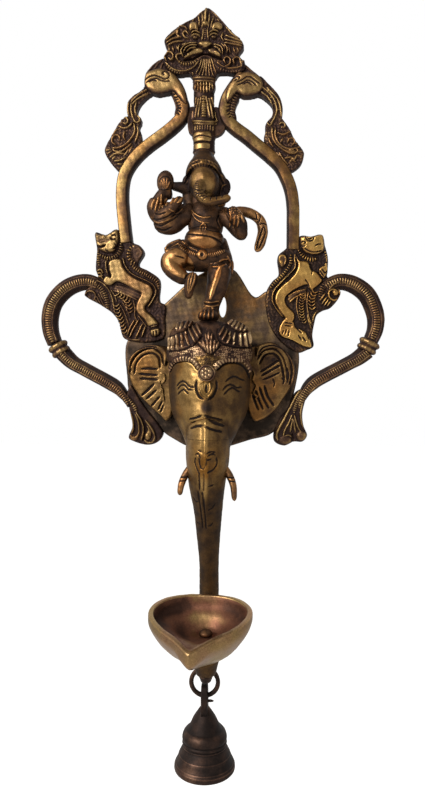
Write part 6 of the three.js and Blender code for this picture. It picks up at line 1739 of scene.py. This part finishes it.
def make_figure_left_arms():
    upper = limb(posed((-4.3, -15, 70, 11), (-14.3, -16.5, 65, 12), (-24.3, -17, 65, 13),
        (-28.8, -17.5, 70, 11), (-27.3, -18, 76, 9)))
    palm = figure_limb((-27.3, -18, 73, 9, 9), (-23.6, -18.4, 78, 9.5, 8), (-18.4, -19, 78, 5, 6))
    lower = limb(posed((-5, -17, 68, 9), (-12.6, -18.6, 62.8, 9.6), (-18.4, -20.4, 58.6, 10.6),
        (-24, -21.5, 59.6, 11), (-22, -23.6, 64.5, 9), (-16.7, -25, 69.4, 6.6),
        (-11.7, -25, 74.6, 6.6, 5)))
    flower = figure_lump((-22.8, -18, 85.6), (10.6, 9, 14.4))
    stem = figure_limb((-22.8, -18, 80, 4), (-22.4, -18.4, 75, 3))
    work = Carving(fuse("figure_left_arms_casting", [upper, palm, lower, flower, stem], 0.36, 3),
        0.34)
    work.ridge(0.5, 0.5, [-275, 1328, 9, -17, 2, -30], [-257, 1338, 2, -27, -1, -33],
        [-238, 1338, -4, -27, -4, -33], [-223, 1321, -8, -20, -8, -20], polish=0.55)
    work.groove(0.45, 0.5, [-289, 1315, 10, 23, 24, 13, 27, -7, 17, -34])
    work.groove(0.5, 0.6, [-282, 1278, 27, -10, 30, 9])
    work.ridge(0.9, 1.0, [-332, 1152, 6, 34, 17, 29], [-309, 1139, 7, 39, 13, 47],
        [-285, 1138, 8, 47, 5, 53], [-260, 1151, 7, 40, 8, 30], [-235, 1157, 9, 33, 1, 27],
        [-208, 1167, 12, 23, 2, 23], [-188, 1176, 14, 17, 6, 13], [-168, 1173, 17, 16, 7, 17],
        polish=0.7)
    work.groove(0.55, 0.6, [-326, 1099, 34, -21, 54, 13, 47, 32],
        [-316, 1058, 44, -17, 54, 29, 47, 39], [-312, 1125, 33, -14, 41, 6],
        [-299, 1031, 47, -14, 47, 20])
    work.ridge(0.6, 0.5, [-319, 1079, 37, -20, 54, 19, 47, 38], [-218, 1137, 34, -14, 40, 33],
        polish=0.5)
    work.chase(uneven=0.12, painted_side_shade=0.7)
    work.finish(8, 0.7, copper_brass, "copper_brass", "figure_upper_left_arm",
        "figure_lower_left_arm", "figure_flower")


def make_figure_right_arm():
    arm = limb(posed((9.7, -16, 68.5, 11), (16.7, -18, 61.6, 10.4), (22.9, -20, 53.5, 8.4),
        (23.6, -22.5, 52.8, 7), (23.0, -24.6, 58, 8), (19.2, -25.4, 63, 8.4),
        (16.2, -25.6, 67.4, 7)))
    work = Carving(fuse("figure_right_arm_casting", [arm], 0.34, 2), 0.3)
    work.stipple(0.5, 1.3, [143, 1170, 46, -21, 27, -46, -20, -33, -47, 7, -13, 54])
    work.ridge(0.8, 0.9, [148, 1091, -4, -27, -7, -26], [169, 1084, -1, -27, -7, -26],
        [190, 1083, 2, -26, -6, -27], [209, 1090, 5, -20, 8, -20], polish=0.65)
    work.groove(0.5, 0.6, [129, 1184, -6, -53, 10, -40])
    work.chase(uneven=0.12, painted_side_shade=0.7)
    work.finish(8, 0.7, copper_brass, "copper_brass", "figure_right_arm")

    band = limb(posed((14, -12, 66.5, 5, 6), (22, -13, 68.4, 5.4, 6.2),
        (29.6, -13, 66.6, 5.4, 6.2), (34.6, -12.6, 62.6, 5.4, 6.2), (36.2, -12.4, 56.6, 5.2, 6.4),
        (34.8, -12.4, 49.4, 5, 6.4), (32.2, -12.4, 43.4, 4.4, 6.0)), cap=0.16)
    work = Carving(fuse("figure_sash_casting", [band], 0.34, 2), 0.62)
    work.groove(0.5, 0.6, [292, 1141, 6, -20, -3, -26], [318, 1134, 3, -23, -10, -30],
        [219, 1109, 43, -1, 39, -13])
    work.groove(0.6, 0.7, [341, 1061, 10, -40, -17, -53, -23, -46],
        [336, 1048, -18, -46, -17, -46, -3, -40])
    work.ridge(0.6, 0.6, [334, 1008, -16, -46, -10, -33], polish=0.7)
    work.groove(0.5, 0.6, [315, 1068, 23, 6, 23, -7])
    work.chase(uneven=0.1, painted_side_shade=0.7)
    work.finish(6, 0.6, copper_brass, "copper_brass", "figure_sash")


# Steel fittings at the back


def lying(piece, x, z):
    """Lays a piece turned on the upright axis down, so that its top points at the viewer."""
    spots = read_spots(piece)
    write_spots(piece, np.column_stack([x + spots[:, 0], -spots[:, 2], z + spots[:, 1]]))
    turn_outwards(piece)
    return piece


def make_hanger():
    corners = ((-11.2, 228.3), (-11.2, 216.6), (-11.2, 204.9), (-3.5, 204.9), (4.2, 204.9),
        (4.2, 216.6), (4.2, 228.3), (-3.5, 228.3))
    plate = slab("hanger_plate_sheet", flow(corners, 6, closed=True), 0.0, 1.25)
    keyhole = [(HANGER_X + 4.2 * math.cos(turn),
        213.6 + 4.2 * math.sin(turn)) for turn in np.linspace(2.1, 7.33, 28)]
    keyhole += [(-1.4, 221.1), (-1.9, 222.5), (-3.5, 223.2), (-5.1, 222.5), (-5.6, 221.1)]
    punch = slab("punch", np.array(keyhole), -2, 4)
    hollow(plate, punch)
    adjust(plate, "BEVEL", width=0.15 * MM, segments=2, limit_method="ANGLE")
    weather(plate, 0.5 + 0.2 * ripple(read_spots(plate), 4), 2, 0.5)
    hand_over(plate, "root", worn_steel, "steel_fittings", "hanger_plate")
    bpy.ops.object.shade_smooth_by_angle(angle=math.radians(30))

    head = [(0.6, 0.02), (2.2, 0.04), (2.25, 0.3), (2.0, 0.75), (1.2, 1.15), (1.15, 1.3),
        (1.15, 4.9)]
    rivet = lying(turned("hanger_rivet_pattern", head, 0, 0, segments=32), HANGER_X, 0)
    weather(rivet, 0.6, 2, 0.5)
    for name, height in HANGER_RIVETS.items():
        hand_over(twin(rivet, name + "_turned", height), "root", worn_steel, "steel_fittings",
            name)
    bpy.data.objects.remove(rivet)

    head = [(1.0, 0.05), (3.6, 0.05), (3.95, 0.25), (3.95, 0.5), (1.8, 2.1), (1.8, 14.6),
        (1.2, 15.0)]
    screw = lying(turned("head_screw_pattern", head, 0, 0, segments=48), HEAD_X, 0)
    let_go()
    bpy.ops.mesh.primitive_cube_add(size=1)
    blade = bpy.context.object
    write_spots(blade, read_spots(blade) * MM * (9, 1.4, 1.1) + (HEAD_X, -0.2, 0))
    hollow(screw, blade)
    weather(screw, 0.6, 2, 0.5)
    for name, height in HEAD_SCREWS.items():
        hand_over(twin(screw, name + "_turned", height), "root", worn_steel, "steel_fittings",
            name)
        bpy.ops.object.shade_smooth_by_angle(angle=math.radians(35))
    bpy.data.objects.remove(screw)


# Camera, light and floor


def set_stage():
    scene = bpy.context.scene
    lens = bpy.data.cameras.new("camera")
    camera = bpy.data.objects.new("camera", lens)
    scene.collection.objects.link(camera)
    camera.location = (0.0310, -0.4160, 0.0125)
    camera.rotation_euler = (math.radians(90), 0, math.radians(4))
    lens.sensor_fit = "VERTICAL"
    lens.sensor_height = 36
    lens.lens = 29.7
    lens.shift_y = -0.025
    lens.clip_start = 0.01
    lens.clip_end = 50
    scene.camera = camera

    world = bpy.data.worlds.new("studio")
    scene.world = world
    world.use_nodes = True
    tree = world.node_tree
    backdrop = tree.nodes["Background"]
    backdrop.inputs["Color"].default_value = (1, 1, 1, 1)
    rays = add(tree, "LightPath", {}).outputs
    way = add(tree, "TexCoord", {}).outputs["Generated"]
    along = add(tree, "SeparateXYZ", {"Vector": way}).outputs
    sides = spread(tree, along["X"], -0.9, 0.9, 0.75, 0.16, kind="LINEAR")
    room = add(tree, "Background", {"Color": (1.0, 0.97, 0.92, 1), "Strength": sides})
    seen = combined(tree, "MAXIMUM", rays["Is Camera Ray"], rays["Is Transmission Ray"])
    behind = spread(tree, along["Y"], -0.35, 0.5)
    glossy = combined(tree, "MULTIPLY", rays["Is Glossy Ray"], behind)
    mix = add(tree, "MixShader", { "Fac": combined(tree, "MAXIMUM", seen, glossy),
        1: room.outputs["Background"], 2: backdrop.outputs["Background"], })
    tree.links.new(mix.outputs["Shader"], tree.nodes["World Output"].inputs["Surface"])

    for name, place, size, power in (("window", (-0.75, -0.95, 0.55), 0.8, 17.0),
        ("fill", (0.9, -0.8, 0.1), 1.0, 2.5)):
        light = bpy.data.lights.new(name, "AREA")
        light.size = size
        light.energy = power
        lamp = bpy.data.objects.new(name, light)
        lamp.location = place
        scene.collection.objects.link(lamp)
        aim = Vector((0, -0.02, 0.02)) - lamp.location
        lamp.rotation_euler = aim.to_track_quat("-Z", "Y").to_euler()

    let_go()
    bpy.ops.mesh.primitive_plane_add(size=12, location=(0, 0, -0.62))
    floor = bpy.context.object
    floor.name = "floor"
    paper = bpy.data.materials.new("floor_paper")
    paper.use_nodes = True
    tree = paper.node_tree
    inputs = tree.nodes["Principled BSDF"].inputs
    inputs["Base Color"].default_value = (0.9, 0.9, 0.9, 1)
    inputs["Roughness"].default_value = 0.9
    inputs["Emission Color"].default_value = (1, 1, 1, 1)
    rays = add(tree, "LightPath", {}).outputs
    glow = combined(tree, "MULTIPLY", rays["Is Camera Ray"], 0.6)
    tree.links.new(glow, inputs["Emission Strength"])
    floor.data.materials.append(paper)

    scene.view_settings.view_transform = "Standard"


# The pieces, in the order in which they are made


make_crest()
make_left_bird()
make_right_bird()
make_left_drop()
make_right_drop()
make_band("left_arch_band_casting", "left_arch_band", left_neck, 1)
make_band("right_arch_band_casting", "right_arch_band", right_neck, -1)
make_staff()
make_left_lion()
make_right_lion()
make_loop("left_loop_casting", "left_loop", left_loop_line, -1,
    [-784, 677, 30, 24, 34, -15, 10, -39, -24, -29, -25, 14])
make_loop("right_loop_casting", "right_loop", right_loop_line, 1,
    [812, 729, -43, -19, -28, -33, 5, -43, 28, -15, 28, 15, 5, 28])
make_collar("left_loop_collar_casting", "left_loop_collar", (-95.5, 32.1), -30)
make_collar("right_loop_collar_casting", "right_loop_collar", (98.3, 33.4), 27)
make_arm("left_loop_arm_casting", "left_loop_arm", left_arm_line, 1)
make_arm("right_loop_arm_casting", "right_loop_arm", right_arm_line, -1)
make_left_leaf()
make_right_leaf()
make_back_plate()
make_face()
make_headdress()
make_jewels()
make_left_ear()
make_right_ear()
make_tusk("left_tusk_casting", "left_tusk", -1, 6)
make_tusk("right_tusk_casting", "right_tusk", 1, 9)
make_bowl()
make_lug()
make_ring()
make_bell()
make_clapper()
make_figure_head()
make_figure_body()
make_figure_left_arms()
make_figure_right_arm()
make_hanger()

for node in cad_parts.values():
    node.data.materials.clear()
    node.data.materials.append(gold_brass)

set_stage()
